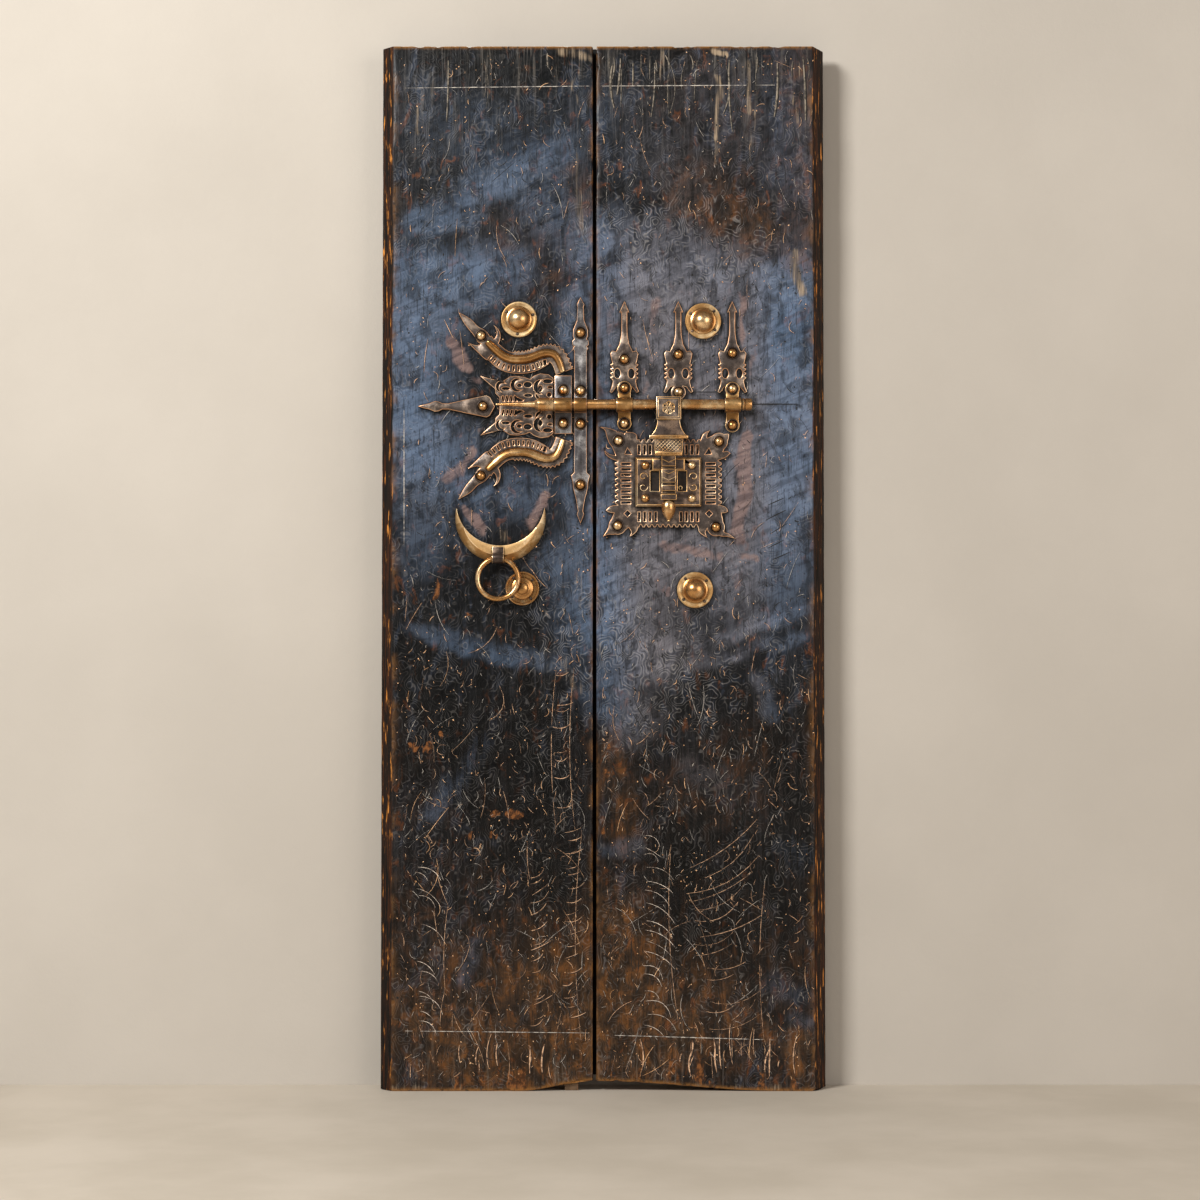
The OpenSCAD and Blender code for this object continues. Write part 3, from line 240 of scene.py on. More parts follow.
GHOST_PX = [
    (455, 345, 470, 365, 8, .7), (470, 380, 485, 378, 6, .5), (470, 455, 445, 480, 9, .7),
    (480, 430, 490, 425, 6, .5), (463, 510, 480, 530, 8, .8), (530, 525, 543, 500, 8, .8),
    (612, 330, 615, 310, 7, .5), (605, 380, 607, 360, 5, .5), (660, 300, 655, 330, 8, .6),
    (650, 360, 648, 390, 6, .5), (745, 300, 742, 345, 7, .7), (748, 360, 740, 390, 8, .7),
    (745, 440, 740, 540, 9, .8), (660, 545, 720, 555, 7, .6), (740, 555, 760, 560, 5, .5),
    (672, 585, 672, 595, 4, .6)]
RAW_PX = [
    (560, 55, 590, 60, 6, .55), (716, 50, 730, 50, 4, .75), (718, 75, 716, 135, 4.5, .62),
    (716, 135, 718, 165, 3, .45), (752, 60, 748, 110, 4, .5), (752, 110, 752, 160, 2.5, .4),
    (774, 60, 776, 90, 3, .4), (795, 90, 795, 120, 2.5, .45), (803, 60, 806, 80, 3, .4),
    (664, 55, 662, 100, 3, .45), (418, 105, 419, 135, 2.5, .5), (435, 60, 430, 100, 3, .35),
    (578, 75, 578, 110, 2.5, .5), (800, 250, 802, 288, 6, .7), (500, 535, 508, 540, 8, .4),
    (565, 560, 585, 600, 14, .35), (565, 660, 580, 690, 8, .4), (575, 150, 585, 240, 7, .4)]
RUST_PX = [
    (410, 745, 412, 747, 7, .9), (425, 750, 428, 752, 7, .9), (440, 735, 442, 738, 6, .8),
    (500, 812, 520, 812, 7, .9), (495, 840, 497, 842, 6, .8), (465, 850, 475, 835, 6, .8),
    (435, 575, 435, 600, 6, .9), (470, 615, 472, 617, 6, .8), (605, 700, 606, 830, 5, .6),
    (640, 760, 700, 790, 30, .3), (420, 730, 560, 830, 60, .2)]
DARK_PX = [
    (415, 500, 450, 560, 30, .5), (450, 690, 560, 850, 60, 1.0), (660, 820, 700, 840, 30, .5),
    (680, 850, 790, 880, 30, .6), (400, 240, 460, 250, 12, .6), (430, 590, 520, 620, 25, .6),
    (790, 740, 805, 900, 30, .8), (660, 860, 700, 960, 30, .6), (690, 930, 800, 975, 42, .9),
    (440, 60, 540, 75, 22, .9), (650, 608, 695, 632, 26, .45), (610, 60, 660, 75, 22, .6),
    (640, 130, 700, 150, 30, .4)]
SWIRL_PX = [(610, 240, 720, 240, 45, .8), (600, 640, 690, 690, 60, .9), (560, 600, 590, 640, 40, .7)]


def marks(px, py, strokes):
    """How strongly a list of marks covers each point."""
    bare = np.ones_like(px)
    for x0, y0, x1, y1, half, strength in strokes:
        dx, dy = x1 - x0, y1 - y0
        t = np.clip(((px - x0) * dx + (py - y0) * dy) / max(dx * dx + dy * dy, SMALL), 0, 1)
        far = (px - x0 - t * dx) ** 2 + (py - y0 - t * dy) ** 2
        bare *= 1 - strength * np.exp(-(far / half ** 2) ** 1.4)
    return 1 - bare


def sink(x, z):
    """How far the worn front lies behind the true face, never proud of it."""
    wave = 0.35 * cloud(x, z, 90 * MM, 11) + 0.25 * cloud(x, z * 0.25, 9 * MM, 12, 2)
    x0, x1, z1 = GROOVE_X, GROOVE_X + GROOVE[0], BOLT_Z + GROOVE_LIP
    z0 = z1 - GROOVE[1]
    inside = ((ramp(x, x0 - GROOVE_LIP, x0 + GROOVE_LIP) - ramp(x, x1 - GROOVE_LIP, x1))
              * (ramp(z, z0 - GROOVE_LIP, z0 + GROOVE_LIP) - ramp(z, z1 - GROOVE_LIP, z1 + GROOVE_LIP)))
    return wave * MM + inside * GROOVE[2]


# Finishes

def finish(name):
    """A new material, its node tree and its shader."""
    mat = bpy.data.materials.new(name)
    mat.use_nodes = True
    return mat, mat.node_tree, mat.node_tree.nodes["Principled BSDF"]


def grid_of(tree, size, seed=0.0, turn=(0, 0, 0)):
    """Object coordinates counted in marks of that size across, deep and upright, in millimetres."""
    here = add(tree, "ShaderNodeTexCoord", out="Object")
    return add(tree, "ShaderNodeMapping", {"Vector": here, "Location": (seed, seed, seed),
                                           "Rotation": [math.radians(a) for a in turn],
                                           "Scale": [s * MM for s in size]}, vector_type="TEXTURE")


def marks_of(tree, size, seed=0.0, detail=4.0, turn=0, bend=0.0):
    """Noise in marks of that size, turned on the face by some degrees and bent by some of their size."""
    return add(tree, "ShaderNodeTexNoise", {"Vector": grid_of(tree, size, seed, (0, turn, 0)), "Scale": 1.0,
                                            "Detail": detail, "Roughness": 0.6, "Distortion": bend})


def lay(tree, under, colour, where, low, high, least=0.0, most=1.0, strength=None):
    """Lays a colour over another where a pattern goes from low to high, as strongly as strength says."""
    share = add(tree, "ShaderNodeMapRange", {0: where, 1: low, 2: high, 3: least, 4: most},
                interpolation_type="SMOOTHSTEP")
    if strength is not None:
        share = add(tree, "ShaderNodeMath", {0: share, 1: strength}, operation="MULTIPLY")
    over = linear(colour) if isinstance(colour, str) else colour
    return add(tree, "ShaderNodeMix", {0: share, 6: under, 7: over}, out=2, data_type="RGBA")


def bare_grain(tree, rubbed):
    """Old bare wood's colour and relief: upright fibres, dark in the cracks and golden where it is rubbed."""
    fibre = marks_of(tree, (4, 4, 60), 3.1, 5)
    band = marks_of(tree, (11, 11, 240), 7.7, 3)
    fleck = marks_of(tree, (7, 7, 42), 1.3, 3)
    wood = lay(tree, linear("#020100"), "#381a05", fibre, 0.43, 0.57)
    wood = lay(tree, wood, "#120904", band, 0.46, 0.6, 0, 0.85)
    gold = add(tree, "ShaderNodeMapRange", {0: fleck, 1: 0.55, 2: 0.64}, interpolation_type="SMOOTHSTEP")
    gold = add(tree, "ShaderNodeMath", {0: gold, 1: rubbed}, operation="MULTIPLY")
    return lay(tree, wood, "#cf8639", fibre, 0.49, 0.6, strength=gold), fibre


# Three sets of four tones that a leaf carries in its points and its lacquer mixes
TONES = ("first_tones", "second_tones", "third_tones")


def worn_lacquer():
    """Black lacquer on planks: a blue or mauve sheen in diagonal streaks that is a painted reflection, brown
    where it thinned, darker in patches and in a painted shadow round the fittings, with upright drips and
    grain, fine tooled swirls in places whose grooves and crests carry painted shade and highlight, and bare
    wood at the edges."""
    mat, tree, shader = finish("worn black lacquer on planks")
    tones = []
    for key in TONES:
        given = add(tree, "ShaderNodeAttribute", out=None, attribute_name=key)
        parts = add(tree, "ShaderNodeSeparateColor", {0: given.outputs["Color"]}, out=None).outputs
        tones += [*parts, given.outputs["Alpha"]]
    painted_sheen, brown, ghost, raw, dark, swirl, bare, rust, warm, drip, rim, rubbed = tones
    clouds = marks_of(tree, (90, 90, 130), 2.0, 4)
    diagonal_streaks = marks_of(tree, (80, 60, 12), 6.0, 6, -24, 0.7)
    grain = marks_of(tree, (6, 6, 110), 5.0, 4, 0, 0.9)
    crumb = marks_of(tree, (7, 7, 10), 9.0, 4)
    crack = marks_of(tree, (2.6, 2.6, 48), 11.0, 3, 0, 1.2)
    patch = marks_of(tree, (26, 26, 44), 1.7, 5, 0, 0.6)
    haze = marks_of(tree, (30, 30, 64), 13.0, 5, 12, 0.9)
    scorch = marks_of(tree, (20, 20, 38), 17.0, 5, 0, 0.9)
    whorls = grid_of(tree, (15, 15, 15), 4.0)
    curl = add(tree, "ShaderNodeTexWave", {"Vector": whorls, "Scale": 0.35, "Distortion": 34, "Detail": 1.0,
                                           "Detail Scale": 1.4}, out=1, bands_direction="X")
    share = add(tree, "ShaderNodeMapRange", {0: haze, 1: 0.44, 2: 0.64, 3: 0.08, 4: 1.0})
    tooled = add(tree, "ShaderNodeMath", {0: share, 1: swirl}, operation="MULTIPLY")
    coat = lay(tree, linear("#020203"), "#101318", clouds, 0.36, 0.64)
    coat = lay(tree, coat, "#3a3b40", grain, 0.5, 0.68, 0, 0.45)
    coat = lay(tree, coat, "#3d4759", haze, 0.5, 0.68, 0, 0.5)
    coat = lay(tree, coat, "#3f2c1b", grain, 0.3, 0.6, 0.55, 1, brown)
    coat = lay(tree, coat, "#75491f", patch, 0.48, 0.68, 0, 0.6, brown)
    coat = lay(tree, coat, "#74421d", scorch, 0.57, 0.7, 0, 0.55)
    # Painted reflection: the sheen, blue-grey or mauve by the warm tone, broken up by diagonal streaks
    sheen_colour = add(tree, "ShaderNodeMix", {0: warm, 6: linear("#596c87"), 7: linear("#76747c")}, out=2,
                data_type="RGBA")
    coat = lay(tree, coat, sheen_colour, diagonal_streaks, 0.3, 0.62, 0.52, 1, painted_sheen)
    coat = lay(tree, coat, "#040405", patch, 0.36, 0.54, 0.62, 0)
    coat = lay(tree, coat, "#050507", crack, 0.34, 0.47, 0.6, 0)
    ghostly = add(tree, "ShaderNodeMath", {0: ghost, 1: 0.8, 2: patch}, operation="MULTIPLY_ADD")
    stain = lay(tree, linear("#5a4a49"), "#836c67", diagonal_streaks, 0.35, 0.6)
    coat = lay(tree, coat, stain, ghostly, 0.8, 1.06, 0, 0.72)
    # The dark tone lays near black over dark patches and over the painted shadow round the fittings
    coat = lay(tree, coat, "#020202", grain, 0.36, 0.6, 1, 0.7, dark)
    coat = lay(tree, coat, "#857e75", grain, 0.48, 0.7, 0, 0.85, drip)
    # Dark in the grooves and pale on the crests of the tooled swirls: painted shade and painted highlight
    # over their bump
    coat = lay(tree, coat, "#040405", curl, 0.0, 0.3, 0.6, 0, tooled)
    coat = lay(tree, coat, "#a39e9a", curl, 0.8, 1.0, 0, 0.4, tooled)
    coat = lay(tree, coat, "#040404", crumb, 0.3, 0.4, 0.65, 0)
    rusty = add(tree, "ShaderNodeMath", {0: rust, 1: 0.5, 2: patch}, operation="MULTIPLY_ADD")
    flaking = lay(tree, linear("#3d2412"), "#80502a", crumb, 0.4, 0.6)
    coat = lay(tree, coat, flaking, rusty, 0.86, 0.92, 0, 0.85)
    worn = add(tree, "ShaderNodeMath", {0: grain, 1: 0.9, 2: raw}, operation="MULTIPLY_ADD")
    pale = lay(tree, linear("#51473c"), "#a08d76", grain, 0.38, 0.62)
    coat = lay(tree, coat, pale, worn, 0.78, 1.25, 0, 0.9)
    coat = lay(tree, coat, "#8f6231", crumb, 0.32, 0.52, 0.2, 1, rim)
    wood, fibre = bare_grain(tree, rubbed)
    coat = add(tree, "ShaderNodeMix", {0: bare, 6: coat, 7: wood}, out=2, data_type="RGBA")
    tree.links.new(coat, shader.inputs["Base Color"])
    rough = add(tree, "ShaderNodeMapRange", {0: diagonal_streaks, 1: 0.3, 2: 0.7, 3: 0.28, 4: 0.46})
    tree.links.new(add(tree, "ShaderNodeMix", {0: bare, 2: rough, 3: 0.75}), shader.inputs["Roughness"])
    cut = add(tree, "ShaderNodeMath", {0: curl, 1: tooled}, operation="MULTIPLY")
    relief = add(tree, "ShaderNodeMath", {0: crumb, 1: 0.4, 2: cut}, operation="MULTIPLY_ADD")
    relief = add(tree, "ShaderNodeMath", {0: grain, 1: 0.8, 2: relief}, operation="MULTIPLY_ADD")
    relief = add(tree, "ShaderNodeMath", {0: fibre, 1: bare, 2: relief}, operation="MULTIPLY_ADD")
    bump = add(tree, "ShaderNodeBump", {"Strength": 0.6, "Distance": 1.0 * MM, "Height": relief})
    tree.links.new(bump, shader.inputs["Normal"])
    shader.inputs["Specular IOR Level"].default_value = 0.22
    return mat


def bare_plank(name, pale):
    """Unpainted aged planks: dull, with upright fibres and dark cracks."""
    mat, tree, shader = finish(name)
    wood, fibre = bare_grain(tree, 0.35)
    dust = marks_of(tree, (30, 30, 40), 6.0, 4)
    tree.links.new(lay(tree, wood, pale, dust, 0.35, 0.7, 0.1, 0.6), shader.inputs["Base Color"])
    shader.inputs["Roughness"].default_value = 0.78
    bump = add(tree, "ShaderNodeBump", {"Strength": 0.6, "Distance": 1.0 * MM, "Height": fibre})
    tree.links.new(bump, shader.inputs["Normal"])
    return mat


def old_metal(name, deep, body, bright, metallic, rough, spot=9.0, pitting=0.5):
    """Handled metal: dark in the pits, its own colour on the flats, brighter where it was rubbed, and near
    black in corners and crevices by ambient occlusion, which is grime and painted shade.
    """
    mat, tree, shader = finish(name)
    patch = marks_of(tree, (spot * 2.2,) * 3, 1.0, 5)
    pit = marks_of(tree, (spot * 0.4,) * 3, 8.0, 4)
    colour = lay(tree, linear(body), bright, patch, 0.46, 0.66)
    colour = lay(tree, colour, deep, patch, 0.3, 0.46, pitting, 0)
    colour = lay(tree, colour, deep, pit, 0.34, 0.46, pitting, 0)
    # Ambient occlusion darkens the colour in corners and crevices: grime and painted shade
    corner = add(tree, "ShaderNodeAmbientOcclusion", {"Distance": 9 * MM}, out="AO", samples=6)
    colour = lay(tree, colour, "#0d0806", corner, 0.45, 0.98, 0.94, 0)
    tree.links.new(colour, shader.inputs["Base Color"])
    shader.inputs["Metallic"].default_value = metallic
    gloss = add(tree, "ShaderNodeMapRange", {0: pit, 1: 0.3, 2: 0.7, 3: rough + 0.12, 4: rough - 0.06})
    tree.links.new(gloss, shader.inputs["Roughness"])
    relief = add(tree, "ShaderNodeMath", {0: pit, 1: patch}, operation="ADD")
    bump = add(tree, "ShaderNodeBump", {"Strength": 0.6 * pitting, "Distance": 0.6 * MM, "Height": relief})
    tree.links.new(bump, shader.inputs["Normal"])
    return mat


def scratch(name, deep, pale):
    """A dry, dusty mark, uneven along its length: wood laid bare in a scratch, and near black in the sunk
    places and in painted shadows.
    """
    mat, tree, shader = finish(name)
    speck = marks_of(tree, (7, 7, 7), 2.0, 3)
    tree.links.new(lay(tree, linear(deep), pale, speck, 0.34, 0.62), shader.inputs["Base Color"])
    shader.inputs["Roughness"].default_value = 0.8
    return mat


# The finishes by name. Iron is brown or blue-grey and pitted, its rubbed edges are copper brown or golden and
# bright, partly as a painted highlight, brass is yellow and satin, and a scratch shows dry wood or old paint
lacquer = worn_lacquer()
ledge_wood = bare_plank("bare ledge wood", "#7d6247")
iron = old_metal("wrought iron plate", "#120e0c", "#4e443f", "#938275", 0.55, 0.36)
blue_iron = old_metal("blued iron strap", "#171516", "#555254", "#93908f", 0.55, 0.34)
copper_edge = old_metal("rubbed copper-brown edge, partly painted highlight", "#64422a", "#c6936b", "#ffd7b0", 0.6, 0.32, 20, 0.12)
bronze = old_metal("brown bronzed iron", "#120c09", "#473a33", "#826c5b", 0.6, 0.34)
gold_edge = old_metal("rubbed golden edge, partly painted highlight", "#6e4e2a", "#d8a86e", "#ffe3b8", 0.75, 0.3, 20, 0.12)
brass = old_metal("old yellow brass", "#553819", "#c6935c", "#fbdaaa", 0.95, 0.25, 24, 0.18)
bar_brass = old_metal("dark rubbed brass", "#3a2510", "#a37746", "#e0b57c", 0.95, 0.3, 24, 0.22)
satin_brass = old_metal("pale satin brass", "#6a4a26", "#dcb47e", "#ffe8c2", 0.8, 0.42, 14, 0.22)
flange_brass = old_metal("pale hammered brass", "#5c3d1e", "#c1955f", "#f2d4a4", 0.85, 0.36, 14, 0.3)
sunk_black = scratch("near-black in the sunk places", "#0b0705", "#26190f")
tan_scratch = scratch("tan scratch", "#644733", "#dbb08c")
cream_scratch = scratch("cream carved rib", "#75645a", "#e2d2c2")
pale_scratch = scratch("pale scribed line", "#5c5958", "#c0b8ae")
# Black for worm holes and nicks, and for the painted shadows of the cuts and of the bolt groove's edges
black_nick_and_shadow = scratch("black worm hole, nick and painted shadow", "#050505", "#0d0b0a")
drip_paint = scratch("dried drip", "#38342f", "#857b6d")
gold_scratch = scratch("golden scratch", "#96683c", "#f2c294")


# Trees of Geometry Nodes

def group(name, sockets):
    """An empty tree with its geometry ends and its named inputs."""
    tree = bpy.data.node_groups.new(name, "GeometryNodeTree")
    tree.interface.new_socket("Geometry", in_out="INPUT", socket_type="NodeSocketGeometry")
    tree.interface.new_socket("Geometry", in_out="OUTPUT", socket_type="NodeSocketGeometry")
    for label, kind in sockets:
        tree.interface.new_socket(label, in_out="INPUT", socket_type=kind)
    start = add(tree, "NodeGroupInput", out=None)
    return tree, {s.name: s for s in start.outputs if s.name}


def grow(obj, tree, name, **inputs):
    """Runs a tree on an object and gives the plain mesh that it makes."""
    mod = obj.modifiers.new("grow", "NODES")
    mod.node_group = tree
    for item in tree.interface.items_tree:
        if item.in_out == "INPUT" and item.name in inputs:
            mod[item.identifier] = inputs[item.name]
    return plain_mesh(obj, name)


def stamp_tree():
    """Sets a stamp on every point, turned and sized by the point's own values."""
    tree, given = group("stamps on points", [("Stamp", "NodeSocketObject"), ("Finish", "NodeSocketMaterial")])
    stamp = add(tree, "GeometryNodeObjectInfo", {"Object": given["Stamp"]}, out="Geometry")
    turn = add(tree, "GeometryNodeInputNamedAttribute", {"Name": "turn"}, data_type="FLOAT_VECTOR")
    size = add(tree, "GeometryNodeInputNamedAttribute", {"Name": "size"}, data_type="FLOAT_VECTOR")
    laid = add(tree, "GeometryNodeInstanceOnPoints",
               {"Points": given["Geometry"], "Instance": stamp, "Scale": size,
                "Rotation": add(tree, "FunctionNodeEulerToRotation", {0: turn})})
    whole = add(tree, "GeometryNodeRealizeInstances", {0: laid})
    solid = add(tree, "GeometryNodeSetMaterial", {"Geometry": whole, "Material": given["Finish"]})
    add(tree, "NodeGroupOutput", {0: solid}, out=None)
    return tree


def stroke_tree():
    """Draws a flat lens-shaped stroke along every curve."""
    tree, given = group("strokes along curves", [("Half width", "NodeSocketFloat"),
                                                 ("Flatness", "NodeSocketFloat"),
                                                 ("Finish", "NodeSocketMaterial")])
    here = add(tree, "GeometryNodeInputPosition")
    kept = add(tree, "GeometryNodeStoreNamedAttribute",
               {"Geometry": given["Geometry"], "Name": "track", "Value": here}, data_type="FLOAT_VECTOR")
    ring = add(tree, "GeometryNodeCurvePrimitiveCircle", {"Resolution": 6, "Radius": given["Half width"]})
    tube = add(tree, "GeometryNodeCurveToMesh", {"Curve": kept, "Profile Curve": ring, "Fill Caps": True,
                                                 "Scale": add(tree, "GeometryNodeInputRadius")})
    track = add(tree, "GeometryNodeInputNamedAttribute", {"Name": "track"}, data_type="FLOAT_VECTOR")
    back = add(tree, "ShaderNodeVectorMath", {0: track, 1: here}, operation="SUBTRACT")
    press = add(tree, "ShaderNodeCombineXYZ", {"Y": given["Flatness"]})
    offset = add(tree, "ShaderNodeVectorMath", {0: back, 1: press}, operation="MULTIPLY")
    flat = add(tree, "GeometryNodeSetPosition", {"Geometry": tube, "Offset": offset})
    whole = add(tree, "GeometryNodeRealizeInstances", {0: flat})
    solid = add(tree, "GeometryNodeSetMaterial", {"Geometry": whole, "Material": given["Finish"]})
    add(tree, "NodeGroupOutput", {0: solid}, out=None)
    return tree


stamps, strokes_along = stamp_tree(), stroke_tree()


def scatter(name, stamp, points, turns, sizes, material):
    """A stamp set on many points as one mesh."""
    mesh = bpy.data.meshes.new(name)
    mesh.from_pydata([tuple(p) for p in points], [], [])
    for key, values in (("turn", turns), ("size", sizes)):
        layer = mesh.attributes.new(key, "FLOAT_VECTOR", "POINT")
        layer.data.foreach_set("vector", np.asarray(values, float).ravel())
    return grow(link(name, mesh), stamps, name, Stamp=stamp, Finish=material)


def draw_lines(name, lines, half_width, material, proud):
    """Raised strokes along lines of points, each with its x, y, z and width."""
    curve = bpy.data.curves.new(name, "CURVE")
    curve.dimensions = "3D"
    for line in lines:
        x, y, z, width = np.array(line, float).T
        spline = curve.splines.new("POLY")
        spline.points.add(len(line) - 1)
        spline.points.foreach_set("co", np.column_stack([x, y, z, np.ones_like(x)]).ravel())
        spline.points.foreach_set("radius", width)
    obj = bpy.data.objects.new(name, curve)
    bpy.context.scene.collection.objects.link(obj)
    inputs = {"Half width": half_width, "Flatness": 1 - proud * MM / half_width, "Finish": material}
    return grow(obj, strokes_along, name, **inputs)


def draw(name, paths, half_width, material, proud=0.12):
    """Strokes on the front of the leaves, along paths of the photograph's pixels."""
    lines = []
    for path in paths:
        px, py, width = np.array(path, float).T
        x, z = to_face(px, py)
        lines.append(np.column_stack([x, FACE_Y + sink(x, z), z, width]))
    return draw_lines(name, lines, half_width, material, proud)


# Turned shapes

def lathe(name, profile, segments=72, angle=32):
    """A closed turned shape, from its radii and heights in metres, standing out of the front."""
    verts, faces = [], []
    for r, h in profile:
        for k in range(segments):
            a = 2 * math.pi * k / segments
            verts.append((r * math.cos(a), -h, r * math.sin(a)))
    for i in range(len(profile) - 1):
        for k in range(segments):
            n = (k + 1) % segments
            faces.append((i * segments + k, i * segments + n, (i + 1) * segments + n, (i + 1) * segments + k))
    return build(name, verts, faces, angle, weld=1e-6)


def in_mm(profile):
    """A profile's radii and heights, given in millimetres."""
    return [(r * MM, h * MM) for r, h in profile]


def centre_at(box, y):
    """The middle of a box across and up, at a depth."""
    lo, hi = box
    return Vector(((lo.x + hi.x) / 2, y, (lo.z + hi.z) / 2))


def shift(obj, place):
    """Moves the points of a piece and leaves its object at the origin."""
    for v in obj.data.vertices:
        v.co += place
    return obj


def paint(obj, *materials):
    """Gives an object its materials, the first one on all its faces."""
    obj.data.materials.clear()
    for m in materials:
        obj.data.materials.append(m)
    return obj


def islands(node):
    """The lowest and highest corners of each loose solid in a CAD node."""
    bm = bmesh.new()
    bm.from_mesh(frame["nodes"][node].data)
    bmesh.ops.remove_doubles(bm, verts=bm.verts, dist=0.01 * MM)
    seen, boxes = set(), []
    for start in bm.verts:
        if start in seen:
            continue
        seen.add(start)
        reach, found = [start], []
        while reach:
            v = reach.pop()
            found.append(v.co.copy())
            for edge in v.link_edges:
                other = edge.other_vert(v)
                if other not in seen:
                    seen.add(other)
                    reach.append(other)
        co = np.array(found)
        boxes.append((Vector(co.min(0)), Vector(co.max(0))))
    bm.free()
    return boxes


# The leaf's skin: points across its faces and up its height, and how far wear reaches, in metres
SIDE_COLUMNS, LEAF_ROWS = (5, 9, 118, 8, 14), 500
CORNER_MAX, CORNER_R, CORNER_DULL, CORNER_BITE = 5 * MM, 0.7 * MM, 2.6 * MM, 1.6 * MM
END_R, TOP_CHIP, FOOT_CHIP = 2.6 * MM, 2.5 * MM, 3 * MM
FIBRE_DEPTH, ROUGH_DEPTH, SOCKET_RIM = 2.2 * MM, 0.7 * MM, 0.4 * MM
ROUND_SHARE = 0.293


def leaf_points(width, bevel, thick, height, wear, seed):
    """The leaf's skin as rows of points: distance from the heel, depth behind the face, and height."""
    ends = np.array([0, 0.5, 1.4, 3.0]) * MM
    rows = np.concatenate([ends, np.linspace(0, height, LEAF_ROWS)[1:-1], height - ends[::-1]])
    corners = np.array([(0, thick), (0, bevel[1]), (bevel[0], 0), (width, 0), (width, thick)])
    s_cols, d_cols, normals = [], [], []
    for k in range(5):
        here, before, after = corners[k], corners[k - 1], corners[(k + 1) % 5]
        e0 = (here - before) / np.linalg.norm(here - before)
        e1 = (after - here) / np.linalg.norm(after - here)
        dull = cloud(rows, rows * 0 + k, 40 * MM, seed + k, 4)
        bite = cloud(rows, rows * 0 + k + 5, 11 * MM, seed + 40 + k, 2)
        r = CORNER_R + CORNER_DULL * ramp(dull, 0.4, 0.75) + CORNER_BITE * ramp(bite, 0.6, 0.9)
        for share in (-e0, (e1 - e0) * ROUND_SHARE, e1):
            point = here[None, :] + r[:, None] * share[None, :]
            s_cols.append(point[:, 0])
            d_cols.append(point[:, 1])
            n0, n1 = np.array([e0[1], -e0[0]]), np.array([e1[1], -e1[0]])
            both = n0 + n1
            normals.append(both / np.linalg.norm(both))
        first, last = here + e1 * CORNER_MAX, after - e1 * CORNER_MAX
        for t in np.linspace(0, 1, SIDE_COLUMNS[k]):
            point = first + (last - first) * t
            s_cols.append(np.full_like(rows, point[0]))
            d_cols.append(np.full_like(rows, point[1]))
            normals.append(np.array([e1[1], -e1[0]]))
    s, d = np.array(s_cols).T, np.array(d_cols).T
    low = wear[0] * ramp(1 - (width - s) / wear[1], 0, 1)
    high = height - TOP_CHIP * ramp(cloud(s, d, 24 * MM, seed + 70, 3), 0.58, 0.85)
    low = low + FOOT_CHIP * ramp(cloud(s, d, 20 * MM, seed + 80, 3), 0.55, 0.85)
    z = low + (high - low) * (rows / height)[:, None]
    near = np.minimum(rows, height - rows)
    inset = END_R - np.sqrt(np.maximum(0, END_R ** 2 - np.maximum(0, END_R - near) ** 2))
    n = np.array(normals)
    s = s - inset[:, None] * n[None, :, 0]
    d = d - inset[:, None] * n[None, :, 1]
    return s, d, z, n


